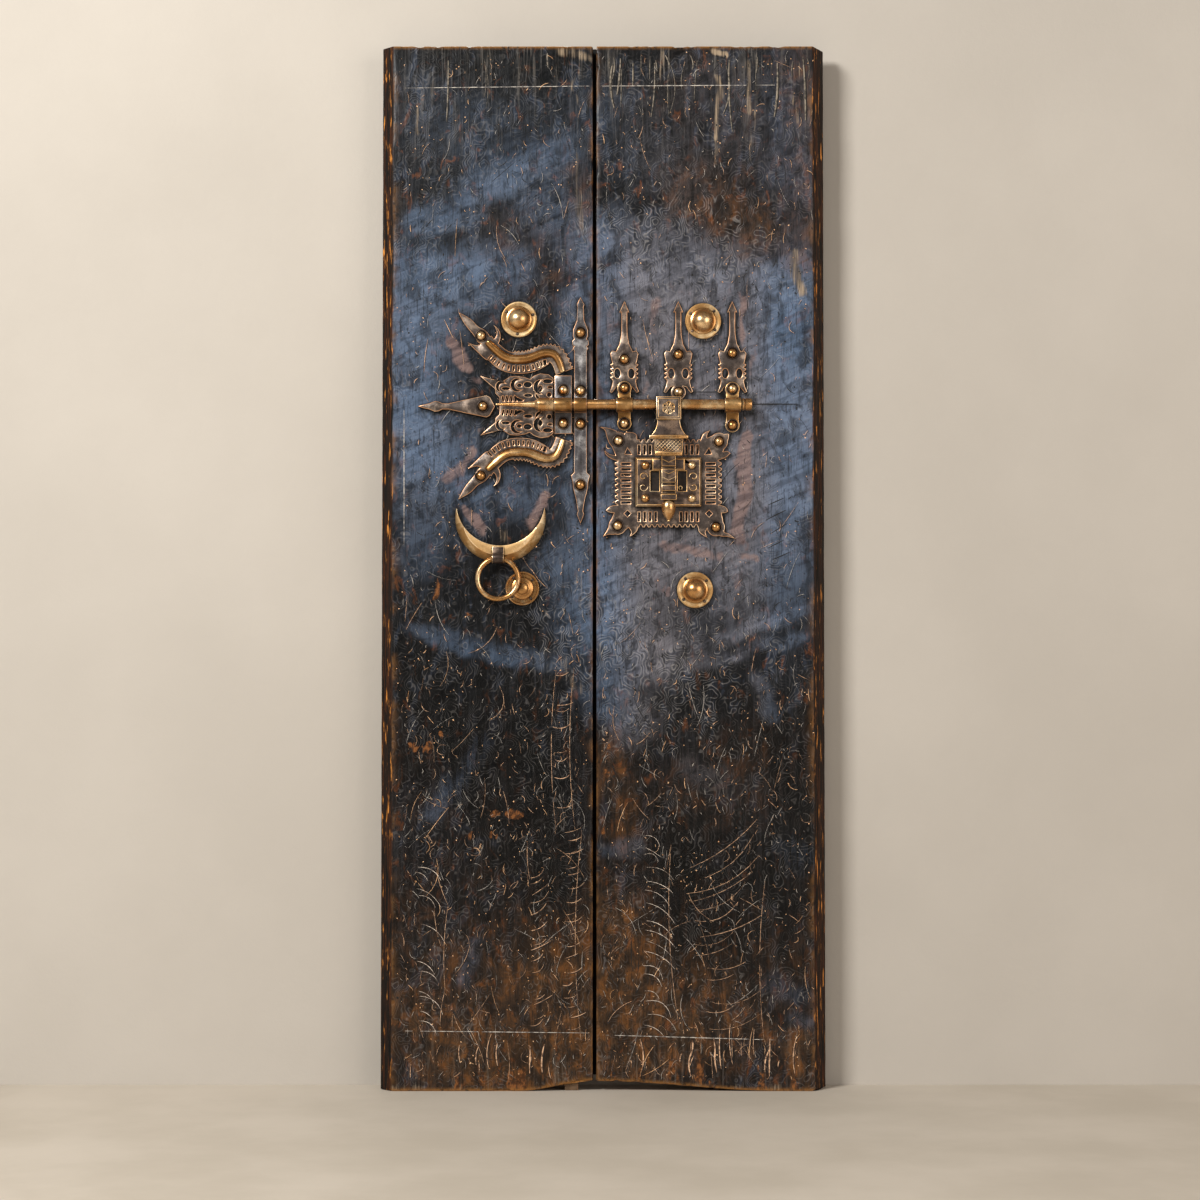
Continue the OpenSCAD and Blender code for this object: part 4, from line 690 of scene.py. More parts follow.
def make_leaf(name, node, sign, bevel, wear, seed):
    """One plank with its bevelled heel, worn corners and feet, and the pivot sockets in its ends."""
    lo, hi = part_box(node)
    width, thick, height = hi.x - lo.x, hi.y - lo.y, hi.z - lo.z
    heel = lo.x if sign > 0 else hi.x
    s, d, z, n = leaf_points(width, bevel, thick, height, wear, seed)
    x = heel + sign * s
    front = n[:, 1] < -0.99
    slope = (n[:, 1] < -0.2) & ~front
    fibre = cloud(s + d, z * 0.06, 5 * MM, seed + 90, 3)
    rough = cloud(x + d, z, 30 * MM, seed + 95, 3)
    off_front = np.where(slope[None, :], FIBRE_DEPTH * fibre, ROUGH_DEPTH * rough)
    relief = np.where(front[None, :], sink(x, z), off_front)
    s, d = s - relief * n[None, :, 0], d - relief * n[None, :, 1]
    x, y = heel + sign * s, FACE_Y + d
    rows, cols = x.shape
    verts = np.column_stack([x.ravel(), y.ravel(), z.ravel()])
    i, j = np.meshgrid(np.arange(rows - 1), np.arange(cols), indexing="ij")
    j2 = (j + 1) % cols
    corners = [i * cols + j, i * cols + j2, (i + 1) * cols + j2, (i + 1) * cols + j]
    faces = np.stack(corners, -1).reshape(-1, 4)
    if sign < 0:
        faces = faces[:, ::-1]
    mesh = bpy.data.meshes.new(name)
    mesh.from_pydata(verts.tolist(), [], faces.tolist())
    bm = bmesh.new()
    bm.from_mesh(mesh)
    bm.verts.ensure_lookup_table()
    middle = Vector((heel + sign * SOCKET_INSET, FACE_Y + thick / 2, 0))
    rims = [[bm.verts[first + k] for k in range(cols)] for first in (0, (rows - 1) * cols)]
    turns = np.arange(SOCKET_SIDES) * 2 * math.pi / SOCKET_SIDES
    for rim, inward in zip(rims, (1, -1)):
        edges = [bm.edges.get((rim[k], rim[(k + 1) % cols])) for k in range(cols)]
        end_z = (lo.z if inward > 0 else hi.z) + inward * SOCKET_RIM
        rings = []
        for z_ring in (end_z, end_z + inward * SOCKET_DEEP):
            spokes = [Vector((SOCKET_R * math.cos(t), SOCKET_R * math.sin(t), z_ring)) for t in turns]
            rings.append([bm.verts.new(middle + spoke) for spoke in spokes])
        sides = [(k, (k + 1) % SOCKET_SIDES) for k in range(SOCKET_SIDES)]
        hole = [bm.edges.new((rings[0][k], rings[0][m])) for k, m in sides]
        bmesh.ops.triangle_fill(bm, use_beauty=True, edges=edges + hole, normal=(0, 0, -inward))
        for k, m in sides:
            bm.faces.new((rings[0][k], rings[0][m], rings[1][m], rings[1][k]))
        bm.faces.new(rings[1])
    bmesh.ops.recalc_face_normals(bm, faces=bm.faces)
    shade(bm, 50)
    bm.to_mesh(mesh)
    bm.free()
    tone(mesh, heel, sign, bevel[0], width, wear)
    obj = link(name, mesh)
    paint(obj, lacquer)
    return piece(obj, "root", [node])


# Grime and painted shadow round the fittings: a cell's size, the points taken on each fitting, how far the
# shadow falls to the lower right and how far it spreads
GRIME_SHADOW_CELL, GRIME_SHADOW_POINTS, SHADOW_FALL, GRIME_SHADOW_SPREAD = 2 * MM, 12000, 4, 5
FITTINGS = [n for n in frame["nodes"] if not n.endswith(("_leaf", "_ledges", "_nails", "_peg"))]


def fitting_shadow():
    """How much of the fittings lies near each place of the face, on a grid of small cells, shifted to the
    lower right and spread: grime and a painted shadow.
    """
    rng = np.random.default_rng(3)
    spots = []
    for node in FITTINGS:
        mesh = frame["nodes"][node].data
        co = np.zeros(len(mesh.vertices) * 3)
        mesh.vertices.foreach_get("co", co)
        tri = np.array([p.vertices[:3] for p in mesh.polygons])
        corner = co.reshape(-1, 3)[tri][:, :, [0, 2]]
        side, up = corner[:, 1] - corner[:, 0], corner[:, 2] - corner[:, 0]
        area = np.abs(side[:, 0] * up[:, 1] - side[:, 1] * up[:, 0])
        pick = rng.choice(len(tri), GRIME_SHADOW_POINTS, p=area / area.sum())
        a, b = rng.random((2, GRIME_SHADOW_POINTS))
        over = a + b > 1
        a, b = np.where(over, 1 - a, a), np.where(over, 1 - b, b)
        spots.append(corner[pick, 0] + a[:, None] * side[pick] + b[:, None] * up[pick])
    spots = np.concatenate(spots)
    lo, hi = cad_box
    cells = [int((hi.x - lo.x) / GRIME_SHADOW_CELL), int((hi.z - lo.z) / GRIME_SHADOW_CELL)]
    shade_map = np.histogram2d(spots[:, 0], spots[:, 1], cells, [(lo.x, hi.x), (lo.z, hi.z)])[0].clip(0, 1)
    shade_map = sum(np.roll(shade_map, (k, -k), (0, 1)) for k in range(SHADOW_FALL)).clip(0, 1)
    for _ in range(GRIME_SHADOW_SPREAD):
        shade_map = (shade_map + np.roll(shade_map, 1, 0) + np.roll(shade_map, -1, 0)
                     + np.roll(shade_map, 1, 1) + np.roll(shade_map, -1, 1)) / 5
    return shade_map


grime_and_shadow_map = fitting_shadow()


# Bands of the photograph where a tone comes in and goes out again, in its pixels
LOWER_PX, FOOT_PX, SHADE_PX, FLAME_PX = (660, 820), (840, 1010), (650, 760, 900, 1000), (1000, 1082)
TOP_DRIP_PX, FOOT_DRIP_PX, MAUVE_PX, PALE_COLUMN_PX = (60, 190), (985, 1075), (590, 650, 745, 785), (622, 30)
WANDER_PX = 16
FRONT_DEPTH, HANDLED_DEPTH = 6 * MM, 48 * MM


def tone(mesh, heel, sign, bevel_w, width, wear):
    """Paints the three sets of tones that the lacquer's material mixes."""
    co = np.zeros(len(mesh.vertices) * 3)
    mesh.vertices.foreach_get("co", co)
    x, y, z = co.reshape(-1, 3).T
    px, py = to_photo(x, y, z)
    wx = px + WANDER_PX * (cloud(x, z, 60 * MM, 21) - 0.5)
    wy = py + WANDER_PX * (cloud(x, z, 60 * MM, 31) - 0.5)
    front = ramp(FACE_Y + FRONT_DEPTH - y, 0, 3 * MM)
    inner = (x - heel) * sign
    low_edge = wear[0] * ramp(1 - (width - inner) / wear[1], 0, 1)
    ragged = bevel_w + 5 * MM * cloud(x, z * 0.3, 14 * MM, 41)
    bare = 1 - front * ramp(inner, ragged - 1.5 * MM, ragged + 1.5 * MM)
    worn_edge = np.exp(-np.maximum(0, width - inner) / (3 * MM)) * ramp(cloud(x, z, 26 * MM, 51), 0.35, 0.7)
    heel_edge = np.exp(-np.maximum(0, inner - ragged) / (5 * MM)) * ramp(cloud(x, z, 40 * MM, 52), 0.4, 0.7)
    ends = np.exp(-np.maximum(0, TOP_Z - z) / (7 * MM)) + np.exp(-np.maximum(0, z - 10 * MM) / (16 * MM))
    raw = marks(wx, wy, RAW_PX) + 0.25 * worn_edge + 0.25 * heel_edge
    raw = raw + 0.45 * ends * ramp(cloud(x, z * 0.4, 16 * MM, 53), 0.4, 0.7)
    rim = np.exp(-((TOP_Z - z) / (3.5 * MM)) ** 2) + np.exp(-(np.maximum(0, z - low_edge) / (4 * MM)) ** 2)
    rim = rim + 0.8 * worn_edge + 0.5 * heel_edge
    foot = ramp(py, *FOOT_PX)
    thinned = (0.2 * ramp(py, *LOWER_PX) + 0.75 * foot) * cloud(x, z, 120 * MM, 54)
    brown = np.clip(marks(wx, wy, BROWN_PX) + thinned, 0, 1)
    # Painted reflection: how strongly the blue-grey or mauve sheen covers each point, less at the foot
    painted_sheen = marks(wx, wy, PAINTED_SHEEN_PX) * (0.7 + 0.6 * cloud(x, z, 50 * MM, 55)) * (1 - 0.4 * foot)
    cells = [np.clip(((v - low) / GRIME_SHADOW_CELL).astype(int), 0, n - 1)
             for v, low, n in zip((x, z), (cad_box[0].x, cad_box[0].z), grime_and_shadow_map.shape)]
    # Grime and painted shadow of the fittings, on the lacquer only: it deepens the dark tone and clears the
    # stains
    grime_and_shadow = np.where(bare < 0.5, grime_and_shadow_map[cells[0], cells[1]], 0)
    pale_column = np.exp(-((px - PALE_COLUMN_PX[0]) / PALE_COLUMN_PX[1]) ** 2)
    shade_band = ramp(py, *SHADE_PX[:2]) * (1 - ramp(py, *SHADE_PX[2:])) * (1 - pale_column)
    dark = np.clip(marks(wx, wy, DARK_PX) * 0.7 + 0.55 * shade_band + 1.75 * grime_and_shadow, 0, 1)
    # How mauve rather than blue the painted sheen is
    mauve = ramp(px, *MAUVE_PX[:2]) * (1 - ramp(px, *MAUVE_PX[2:]))
    warm = 0.12 + 0.75 * mauve + 0.5 * (cloud(x, z, 120 * MM, 56) - 0.5)
    columns = ramp(cloud(x, z * 0.06, 15 * MM, 57), 0.46, 0.72)
    drip = columns * (0.42 * (1 - ramp(py, *TOP_DRIP_PX)) + 0.25 * ramp(py, *FOOT_DRIP_PX))
    first = [painted_sheen, brown, marks(wx, wy, GHOST_PX) * (1 - grime_and_shadow), raw]
    flames = ramp(cloud(x, z * 0.15, 14 * MM, 58), 0.42, 0.7) * ramp(py, *FLAME_PX)
    rust = np.clip(marks(wx, wy, RUST_PX) + 0.85 * flames, 0, 1)
    second = [dark, 0.36 + 0.64 * marks(wx, wy, SWIRL_PX), bare, rust]
    rubbed = 0.25 + 0.75 * ramp(FACE_Y + HANDLED_DEPTH - y, 0, 6 * MM)
    third = [warm, drip, rim, rubbed]
    for key, tones in zip(TONES, (first, second, third)):
        layer = mesh.color_attributes.new(key, "FLOAT_COLOR", "POINT")
        layer.data.foreach_set("color", np.clip(np.column_stack(tones), 0, 1).ravel())


make_leaf("left_plank", "left_leaf", 1, LEFT_BEVEL, LEFT_WEAR, 100)
make_leaf("right_plank", "right_leaf", -1, RIGHT_BEVEL, RIGHT_WEAR, 300)


# Plates and other forged pieces: the CAD solid with its edges worn round

def forged(node, flat, edge, body, wear=0.6, angle=30):
    """A CAD solid with its edges worn round, the worn edges in their own finish."""
    bm = bmesh.new()
    bm.from_mesh(frame["nodes"][node].data)
    bmesh.ops.remove_doubles(bm, verts=bm.verts, dist=0.05 * MM)
    bmesh.ops.dissolve_limit(bm, angle_limit=math.radians(2), verts=bm.verts, edges=bm.edges)
    mesh = bpy.data.meshes.new(node)
    bm.to_mesh(mesh)
    bm.free()
    mesh.materials.append(flat)
    mesh.materials.append(edge)
    obj = link(node + "_worn", mesh)
    mod = obj.modifiers.new("wear", "BEVEL")
    mod.width, mod.segments, mod.limit_method = wear * MM, 2, "ANGLE"
    mod.angle_limit, mod.material, mod.use_clamp_overlap = math.radians(angle), 1, False
    done = plain_mesh(obj, node + "_worn")
    bm = bmesh.new()
    bm.from_mesh(done.data)
    shade(bm, 40)
    bm.to_mesh(done.data)
    bm.free()
    return piece(done, body, [node])


def worn_plate(node, flat, edge, wear=1.0, slope=0.8):
    """A flat plate whose front edges are worn to a slope, round its outline and its piercings."""
    bm = bmesh.new()
    bm.from_mesh(frame["nodes"][node].data)
    bmesh.ops.remove_doubles(bm, verts=bm.verts, dist=0.02 * MM)
    front_y = min(v.co.y for v in bm.verts)
    top = [f for f in bm.faces if max(v.co.y for v in f.verts) < front_y + 0.1 * MM]
    inset = bmesh.ops.inset_region(bm, faces=top, thickness=wear * MM, use_even_offset=True,
                                   use_boundary=True)
    rim = inset["faces"]
    inner = {v for f in top for v in f.verts}
    for v in {v for f in rim for v in f.verts} - inner:
        v.co.y += wear * slope * MM
    for f in rim:
        f.material_index = 1
    shade(bm, 30)
    obj = paint(link(node + "_worn", bpy.data.meshes.new(node + "_worn")), flat, edge)
    bm.to_mesh(obj.data)
    bm.free()
    return piece(obj, "root", [node])


for plate in ("upper_serpent_plate", "lower_serpent_plate", "foliage_plate", "left_spear", "lock_back_plate",
              "inner_spear_plate", "middle_spear_plate", "outer_spear_plate"):
    worn_plate(plate, iron, copper_edge)
BAND_HALF, BAND_OFF = 17 * MM, 9 * MM
for strap in ("long_keeper", "short_keeper"):
    band = forged(strap, blue_iron, copper_edge, "root", 0.9)
    band.data.materials.append(bar_brass)
    for face in band.data.polygons:
        over_bolt = abs(face.center.z - BOLT_Z) < BAND_HALF and face.center.y < FACE_Y - BAND_OFF
        if over_bolt and face.material_index == 0:
            face.material_index = 2
for part in ("inner_staple", "outer_staple"):
    forged(part, bar_brass, gold_edge, "root", 0.9)
lock_case = forged("lock_case", bronze, gold_edge, "root", 1.1)
forged("keyhole_bush", brass, gold_edge, "root", 0.3)
forged("bolt_receiver", brass, gold_edge, "root", 0.5)
crescent = forged("crescent_plate", satin_brass, gold_edge, "root", 0.9)
# The crescent's downward faces take the darker hammered brass: painted shade
crescent.data.materials.append(flange_brass)
for face in crescent.data.polygons:
    if face.material_index == 0 and face.normal.z < -0.1:
        face.material_index = 2
forged("ring_staple", bronze, gold_edge, "root", 0.7)
hasp = forged("hasp", bronze, gold_edge, "hasp", 1.1)
forged("hasp_staple", iron, copper_edge, "hasp", 0.4)
for part in ("left_ledges", "right_ledges", "foot_peg"):
    forged(part, ledge_wood, ledge_wood, "root", 1.5)
forged("ledge_nails", iron, copper_edge, "root", 0.4)


# Hasp and lock case, in millimetres from the middle of the lock, from the bolt's axis and out of the face
LOCK_X = (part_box("lock_case")[0].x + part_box("lock_case")[1].x) / 2
EYE_LOW, EYE_HIGH, EYE_HALF, EYE_OFF = -29.4, 14, 23.5, 39
FLARE_V, MOULDING_V, BLOCK_LOW, LIP_LOW = -60, -66, -92, -98
BLOCK_HALF, BLOCK_OFF = 26.5, 35
ARM_HALF, ARM_OFF, CHEVRONS_V, CHEVRON_RISE = 13.5, 34, (-108, -130, -142, -178), 3
CASE_MIDDLE_V, CASE_OFF, WINDOW_HALF, WINDOW_V = -147, 15, (17, 35), (-165, -125.5)
HATCH_STEP, HATCH_EDGE, BORDER_EDGE, STAR_EDGE = 7, 2.5, 4, 6
SCROLL_U, SCROLL_RISE, SCROLL_R, SCROLL_TURN = 48, 10, 8.5, 9.5


def lock_place(point):
    """Millimetres of a point across, up and out from the lock's middle, the bolt's axis and the face."""
    return (point.x - LOCK_X) / MM, (point.z - BOLT_Z) / MM, (FACE_Y - point.y) / MM


def dress_hasp():
    """Dark iron on the eye block and the hatched block, brass mouldings, and near black in the sunk star."""
    for finish_of in (iron, brass, sunk_black):
        hasp.data.materials.append(finish_of)
    for face in hasp.data.polygons:
        u, v, off = lock_place(face.center)
        if face.material_index == 1:
            continue
        if v > EYE_LOW:
            sunk = off < EYE_OFF - 0.5 and abs(u) < EYE_HALF - STAR_EDGE
            face.material_index = 4 if sunk else 2
        elif MOULDING_V <= v <= FLARE_V or LIP_LOW <= v <= BLOCK_LOW:
            face.material_index = 3
        elif BLOCK_LOW < v < MOULDING_V:
            face.material_index = 2


def dress_case():
    """Near black in the two sunk windows."""
    lock_case.data.materials.append(sunk_black)
    for face in lock_case.data.polygons:
        u, v, off = lock_place(face.center)
        inside = WINDOW_HALF[0] < abs(u) < WINDOW_HALF[1] and WINDOW_V[0] < v < WINDOW_V[1]
        if inside and off < CASE_OFF - 1:
            face.material_index = 2


def on_lock(points, off, width=1.0):
    """A line of points on a front of the lock or the hasp, ready to be drawn."""
    return [(LOCK_X + u * MM, FACE_Y - off * MM, BOLT_Z + v * MM, width) for u, v in points]


def hatch(half, low, high, step):
    """Crossed slanting lines that fill a rectangle."""
    wide, tall, lines = 2 * half, high - low, []
    for c in np.arange(step / 2 - tall, wide, step):
        x0, y0, x1, y1 = max(c, 0), max(-c, 0), min(wide, c + tall), min(tall, wide - c)
        lines.append([(x0 - half, y0 + low), (x1 - half, y1 + low)])
        lines.append([(half - x0, y0 + low), (half - x1, y1 + low)])
    return lines


def scroll(u, v, radius, side, up):
    """A flat spiral that opens away from its middle."""
    points = []
    for t in np.linspace(0.4, 1, 22):
        reach, angle = radius * t, SCROLL_TURN * t
        points.append((u + side * reach * math.cos(angle), v + up * reach * math.sin(angle)))
    return points


def engrave_lock():
    """Border, hatching and chevrons on the hasp, and scrolls on the lock case."""
    half, low, high = EYE_HALF - BORDER_EDGE, EYE_LOW + BORDER_EDGE, EYE_HIGH - BORDER_EDGE
    border = [(-half, low), (half, low), (half, high), (-half, high), (-half, low)]
    lines = [on_lock(border, EYE_OFF, 1.6)]
    inner = BLOCK_HALF - HATCH_EDGE
    for line in hatch(inner, BLOCK_LOW + HATCH_EDGE, MOULDING_V - HATCH_EDGE, HATCH_STEP):
        lines.append(on_lock(line, BLOCK_OFF, 0.8))
    for v in CHEVRONS_V:
        side, rise = ARM_HALF - 1, CHEVRON_RISE
        lines.append(on_lock([(-side, v + rise), (0, v - rise), (side, v + rise)], ARM_OFF, 1.2))
    piece(draw_lines("hasp_engraving", lines, 0.6 * MM, gold_edge, 0.5), "hasp")
    scrolls = []
    for side in (-1, 1):
        for up in (-1, 1):
            spiral = scroll(side * SCROLL_U, CASE_MIDDLE_V + up * SCROLL_RISE, SCROLL_R, side, up)
            scrolls.append(on_lock(spiral, CASE_OFF))
    piece(draw_lines("case_scrolls", scrolls, 0.8 * MM, gold_edge, 0.6), "root")


dress_hasp()
dress_case()
engrave_lock()


# Turned brass: how far in from the flange's rim a boss steps, and how high, in millimetres. The knocker's
# steps are shares of its radius and height. The bolt has a narrow seat for the hasp and a peg for its collar
BOSS_STEPS_MM = [
    (0, 1.2), (.9, 2.2), (2.2, 2.5), (3.6, 2.5), (4.8, 2), (8.6, 2), (9.2, 2.9), (10.2, 4), (11.4, 4.4)]
BOSS_FLANGE = 9 * MM
KNOCKER_STEPS = [
    (0, 0), (1, 0), (1, .2), (.97, .24), (.91, .24), (.87, .16), (.68, .16), (.65, .22), (.63, .36),
    (.58, .4), (.5, .42), (.47, .46), (.45, .58), (.41, .62)]
SEAT_HALF, SEAT_R, PEG_R, COLLAR_BORE, COLLAR_DEEP = 23.7 * MM, 8.2 * MM, 6 * MM, 6.05 * MM, 13.2 * MM


def arc_profile(radius, centre_h, from_h, steps=14):
    """Radii and heights of a dome from a height up to its top."""
    low = math.asin((from_h - centre_h) / radius)
    return [(radius * math.cos(a), centre_h + radius * math.sin(a))
            for a in np.linspace(low, math.pi / 2, steps)]


def domed_boss(node):
    """A dome on a stepped flange, the flange browner than the dome."""
    lo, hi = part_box(node)
    flange, proud = (hi.x - lo.x) / 2, hi.y - lo.y
    rim = [(0, 0), (flange, 0)] + [(flange - inset * MM, h * MM) for inset, h in BOSS_STEPS_MM]
    obj = lathe(node + "_turned", rim + arc_profile(proud, 0, 5 * MM), 96)
    shift(obj, centre_at((lo, hi), FACE_Y))
    paint(obj, brass, flange_brass)
    middle = centre_at((lo, hi), 0)
    for face in obj.data.polygons:
        reach = Vector((face.center.x, 0, face.center.z)) - middle
        face.material_index = int(reach.length > flange - BOSS_FLANGE)
    return piece(obj, "root", [node])


for boss in ("upper_left_boss", "upper_right_boss", "lower_right_boss"):
    domed_boss(boss)


def knocker():
    """The stepped boss under the ring, with a round knob."""
    lo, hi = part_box("knocker_boss")
    flange, proud = (hi.x - lo.x) / 2, hi.y - lo.y
    knob = [(0.38 * math.cos(a), 0.6 + 0.4 * math.sin(a)) for a in np.linspace(0.08, math.pi / 2, 14)]
    obj = lathe("knocker_boss_turned", [(r * flange, h * proud) for r, h in KNOCKER_STEPS + knob], 96)
    shift(obj, centre_at((lo, hi), FACE_Y))
    paint(obj, brass)
    piece(obj, "root", ["knocker_boss"])


knocker()


def turn_along_bolt(name, profile, start, axis_y, segments=64):
    """A shape turned about the bolt's axis, from radii and distances along it."""
    obj = lathe(name, profile, segments)
    for v in obj.data.vertices:
        v.co = Vector((start - v.co.y, axis_y + v.co.x, BOLT_Z + v.co.z))
    return obj


def bolt():
    """The bolt with its seat for the hasp's eye, and the ringed collar on its right end."""
    lo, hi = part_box("bolt_rod")
    axis_y, r = (lo.y + hi.y) / 2, (hi.z - lo.z) / 2
    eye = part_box("hasp")
    middle = (eye[0].x + eye[1].x) / 2
    length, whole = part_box("bolt_end")[0].x - lo.x, hi.x - lo.x
    a, b = middle - SEAT_HALF - lo.x, middle + SEAT_HALF - lo.x
    profile = [
        (0, 0), (r - 3 * MM, 0), (r - 1.2 * MM, 2.2 * MM), (r, 5 * MM), (r, a - 1 * MM), (r - 0.7 * MM, a),
        (SEAT_R, a), (SEAT_R, b), (r - 0.7 * MM, b), (r, b + 1 * MM), (r, length - 0.6 * MM),
        (r - 0.6 * MM, length), (PEG_R, length), (PEG_R, whole), (0, whole)]
    obj = turn_along_bolt("bolt_rod_turned", profile, lo.x, axis_y)
    paint(obj, brass)
    piece(obj, "bolt", ["bolt_rod"])
    lo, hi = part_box("bolt_end")
    r, n = (hi.z - lo.z) / 2, hi.x - lo.x
    profile = [
        (COLLAR_BORE, 0), (r - 1 * MM, 0), (r, 1 * MM), (r, 4 * MM), (r - 1.2 * MM, 5 * MM),
        (r - 1.2 * MM, 6 * MM), (r, 7 * MM), (r, n - 2.2 * MM), (r - 0.7 * MM, n - 0.7 * MM),
        (r - 1.8 * MM, n), (0, n), (0, COLLAR_DEEP), (COLLAR_BORE, COLLAR_DEEP), (COLLAR_BORE, 0)]
    obj = turn_along_bolt("bolt_end_turned", profile, lo.x, axis_y)
    paint(obj, brass)
    piece(obj, "bolt", ["bolt_end"])


bolt()


# The bars' bevelled ridges take the paler brass: rubbed brass and a painted highlight
for part in ("upper_serpent_bar", "lower_serpent_bar"):
    forged(part, bar_brass, brass, "root", 1.6, 25)
forged("hasp_knob", brass, gold_edge, "hasp", 0.3, 60)


def pull_ring():
    """A forged ring, a little uneven round its length."""
    lo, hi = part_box("pull_ring")
    centre, wire = (lo + hi) / 2, (hi.y - lo.y) / 2
    big = (hi.x - lo.x) / 2 - wire
    around, section = 96, 20
    verts, faces = [], []
    for i in range(around):
        a = 2 * math.pi * i / around
        r = wire * (0.97 + 0.025 * math.sin(3 * a + 1))
        for k in range(section):
            b = 2 * math.pi * k / section
            reach, rise = big + r * math.cos(b), r * math.sin(b)
            verts.append((centre.x + reach * math.cos(a), centre.y + rise, centre.z + reach * math.sin(a)))
            here, there, n = i * section, (i + 1) % around * section, (k + 1) % section
            faces.append((here + k, here + n, there + n, there + k))
    obj = build("pull_ring_forged", verts, faces, 60)
    paint(obj, brass)
    piece(obj, "ring", ["pull_ring"])


pull_ring()


# Rivets, washers and nails, their profiles as radius and height in millimetres
DOME_R, DOME_H, CASE_DOME_R, NAIL_H = 8.5, 6, 8, 1.3
SHANK_MM = [(0, -20), (3, -20), (3, 0), (DOME_R, 0)]
ROSE_MM = [(3.05, 0), (12, 0), (12, .8), (11.4, 1.7), (10.4, 2), (9.6, 1.2), (8.9, .7), (3.05, .7), (3.05, 0)]
NAIL_MM = [(0, -16), (1.3, -16), (1.3, 0), (2.6, 0), (2.5, .5), (1.8, 1.1), (.8, NAIL_H), (0, NAIL_H)]
CHIP_MM = [(0, -.5), (1, -.5), (.8, .1), (0, .14)]


def rivets():
    """Domed rivets on rose washers, the smaller rivets of the lock case and the nails of the flanges."""
    domes, roses = [], []
    for node in ("left_washers", "right_washers"):
        for box in islands(node):
            roses.append(centre_at(box, box[1].y))
            domes.append(centre_at(box, box[0].y))
    case_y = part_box("lock_case_rivets")[0].y + DOME_H * MM
    case = [centre_at(box, case_y) for box in islands("lock_case_rivets")]
    r, h = DOME_R * MM, DOME_H * MM
    big = (r * r + h * h) / (2 * h)
    dome = lathe("dome stamp", in_mm(SHANK_MM) + arc_profile(big, h - big, 0.15 * MM, 10), 28, 50)
    rose = lathe("rose stamp", in_mm(ROSE_MM), 32, 40)
    rng = np.random.default_rng(5)
    points = domes + case
    sizes = [(1, 1, 1)] * len(domes) + [(CASE_DOME_R / DOME_R, 1, CASE_DOME_R / DOME_R)] * len(case)
    turns = [(0, a, 0) for a in rng.uniform(0, 6.28, len(points))]
    obj = scatter("rivet_domes", dome, points, turns, sizes, brass)
    piece(obj, "root", ["left_rivets", "right_rivets", "lock_case_rivets"])
    turns = [(0, a, 0) for a in rng.uniform(0, 6.28, len(roses))]
    obj = scatter("rose_washers", rose, roses, turns, [(1, 1, 1)] * len(roses), bronze)
    piece(obj, "root", ["left_washers", "right_washers"])
    heads = [centre_at(box, box[0].y + NAIL_H * MM) for box in islands("boss_nails")]
    nail = lathe("nail stamp", in_mm(NAIL_MM), 14, 50)
    obj = scatter("flange_nails", nail, heads, [(0, 0, 0)] * len(heads), [(1, 1, 1)] * len(heads), bronze)
    piece(obj, "root", ["boss_nails"])
    for stamp in (dome, rose, nail):
        bpy.data.objects.remove(stamp)


rivets()


# Scratches, ribs and worm holes on the lacquer

# Where scratches, strokes and flecks may lie and the gap they keep clear of, and how far a cut's painted
# shadow is set off, in the photograph's pixels
CUT_SHADOW_PX, FACE_X_PX, FACE_Y_PX = 0.7, (399, 813), (50, 1080)
LINES_X_PX, LINES_Y_PX, LINES_GAP_PX, LINES_LOWER_PX = (400, 812), (54, 1078), (590, 601), (560, 800)
STROKES_X_PX, STROKES_GAP_PX = (402, 808), (588, 603)
FLECKS_X_PX, FLECKS_Y_PX, FLECKS_GAP_PX, FLECKS_LOWER_PX = (396, 814), (52, 1080), (590, 602), (500, 800)


def stroke(x0, y0, x1, y1, bow=0.0, points=6, width=1.0):
    """A curved stroke between two places of the photograph, thin at both ends."""
    t = np.linspace(0, 1, points)
    nx, ny = -(y1 - y0), x1 - x0
    lift = bow * 4 * t * (1 - t)
    thin = width * np.sqrt(np.maximum(0.06, np.sin(np.pi * (0.06 + 0.88 * t))))
    return list(zip(x0 + (x1 - x0) * t + nx * lift, y0 + (y1 - y0) * t + ny * lift, thin))


# Rows of carved ribs, in the photograph's pixels: first x and y, step down, count, reach across and down, bow
CREAM_RIBS_PX = [(419, 862, 12.2, 14, 22, 14, -.16), (646, 834, 12, 17, 27, 17, -.16)]
SWEPT_RIBS_PX = [
    (690, 858, 11, 5, 66, -46, .06), (696, 910, 11.5, 5, 64, -30, .08), (706, 966, 11.5, 6, 54, -12, .1)]
TAN_RIBS_PX = [
    (532, 876, 9.4, 17, 17, -11, .12), (556, 676, 12.5, 13, 17, -3, .1), (566, 832, 11.6, 18, 16, -5, .1)]
SPINES_PX = [
    (436, 870, 448, 905), (448, 905, 445, 990), (445, 990, 440, 1025), (765, 880, 764, 1040),
    (671, 845, 678, 1020), (556, 670, 556, 830), (574, 668, 575, 830), (582, 830, 581, 1040)]
SCRIBED_PX = [
    (405, 88, 589, 86), (602, 86, 775, 85), (405, 1031, 589, 1033), (602, 1035, 775, 1040),
    (404, 410, 404, 545)]
# The first three lines round the bolt's sunk groove are drawn black: painted shade along its edges
GROOVE_LINES_PX = [(750, 404, 797, 404), (750, 411, 797, 411), (797, 404, 797, 411), (690, 392, 718, 392)]
DASHES_PX = [
    (768, 505, 784, 498), (766, 520, 786, 510), (770, 534, 788, 523), (768, 548, 784, 540),
    (772, 560, 790, 552)]
LONG_LINES, CURVED_MARKS, SHORT_LINES, DRIPS, FLAMES = 200, 1300, 1300, 28, 30
RIBS_LOST = 0.12


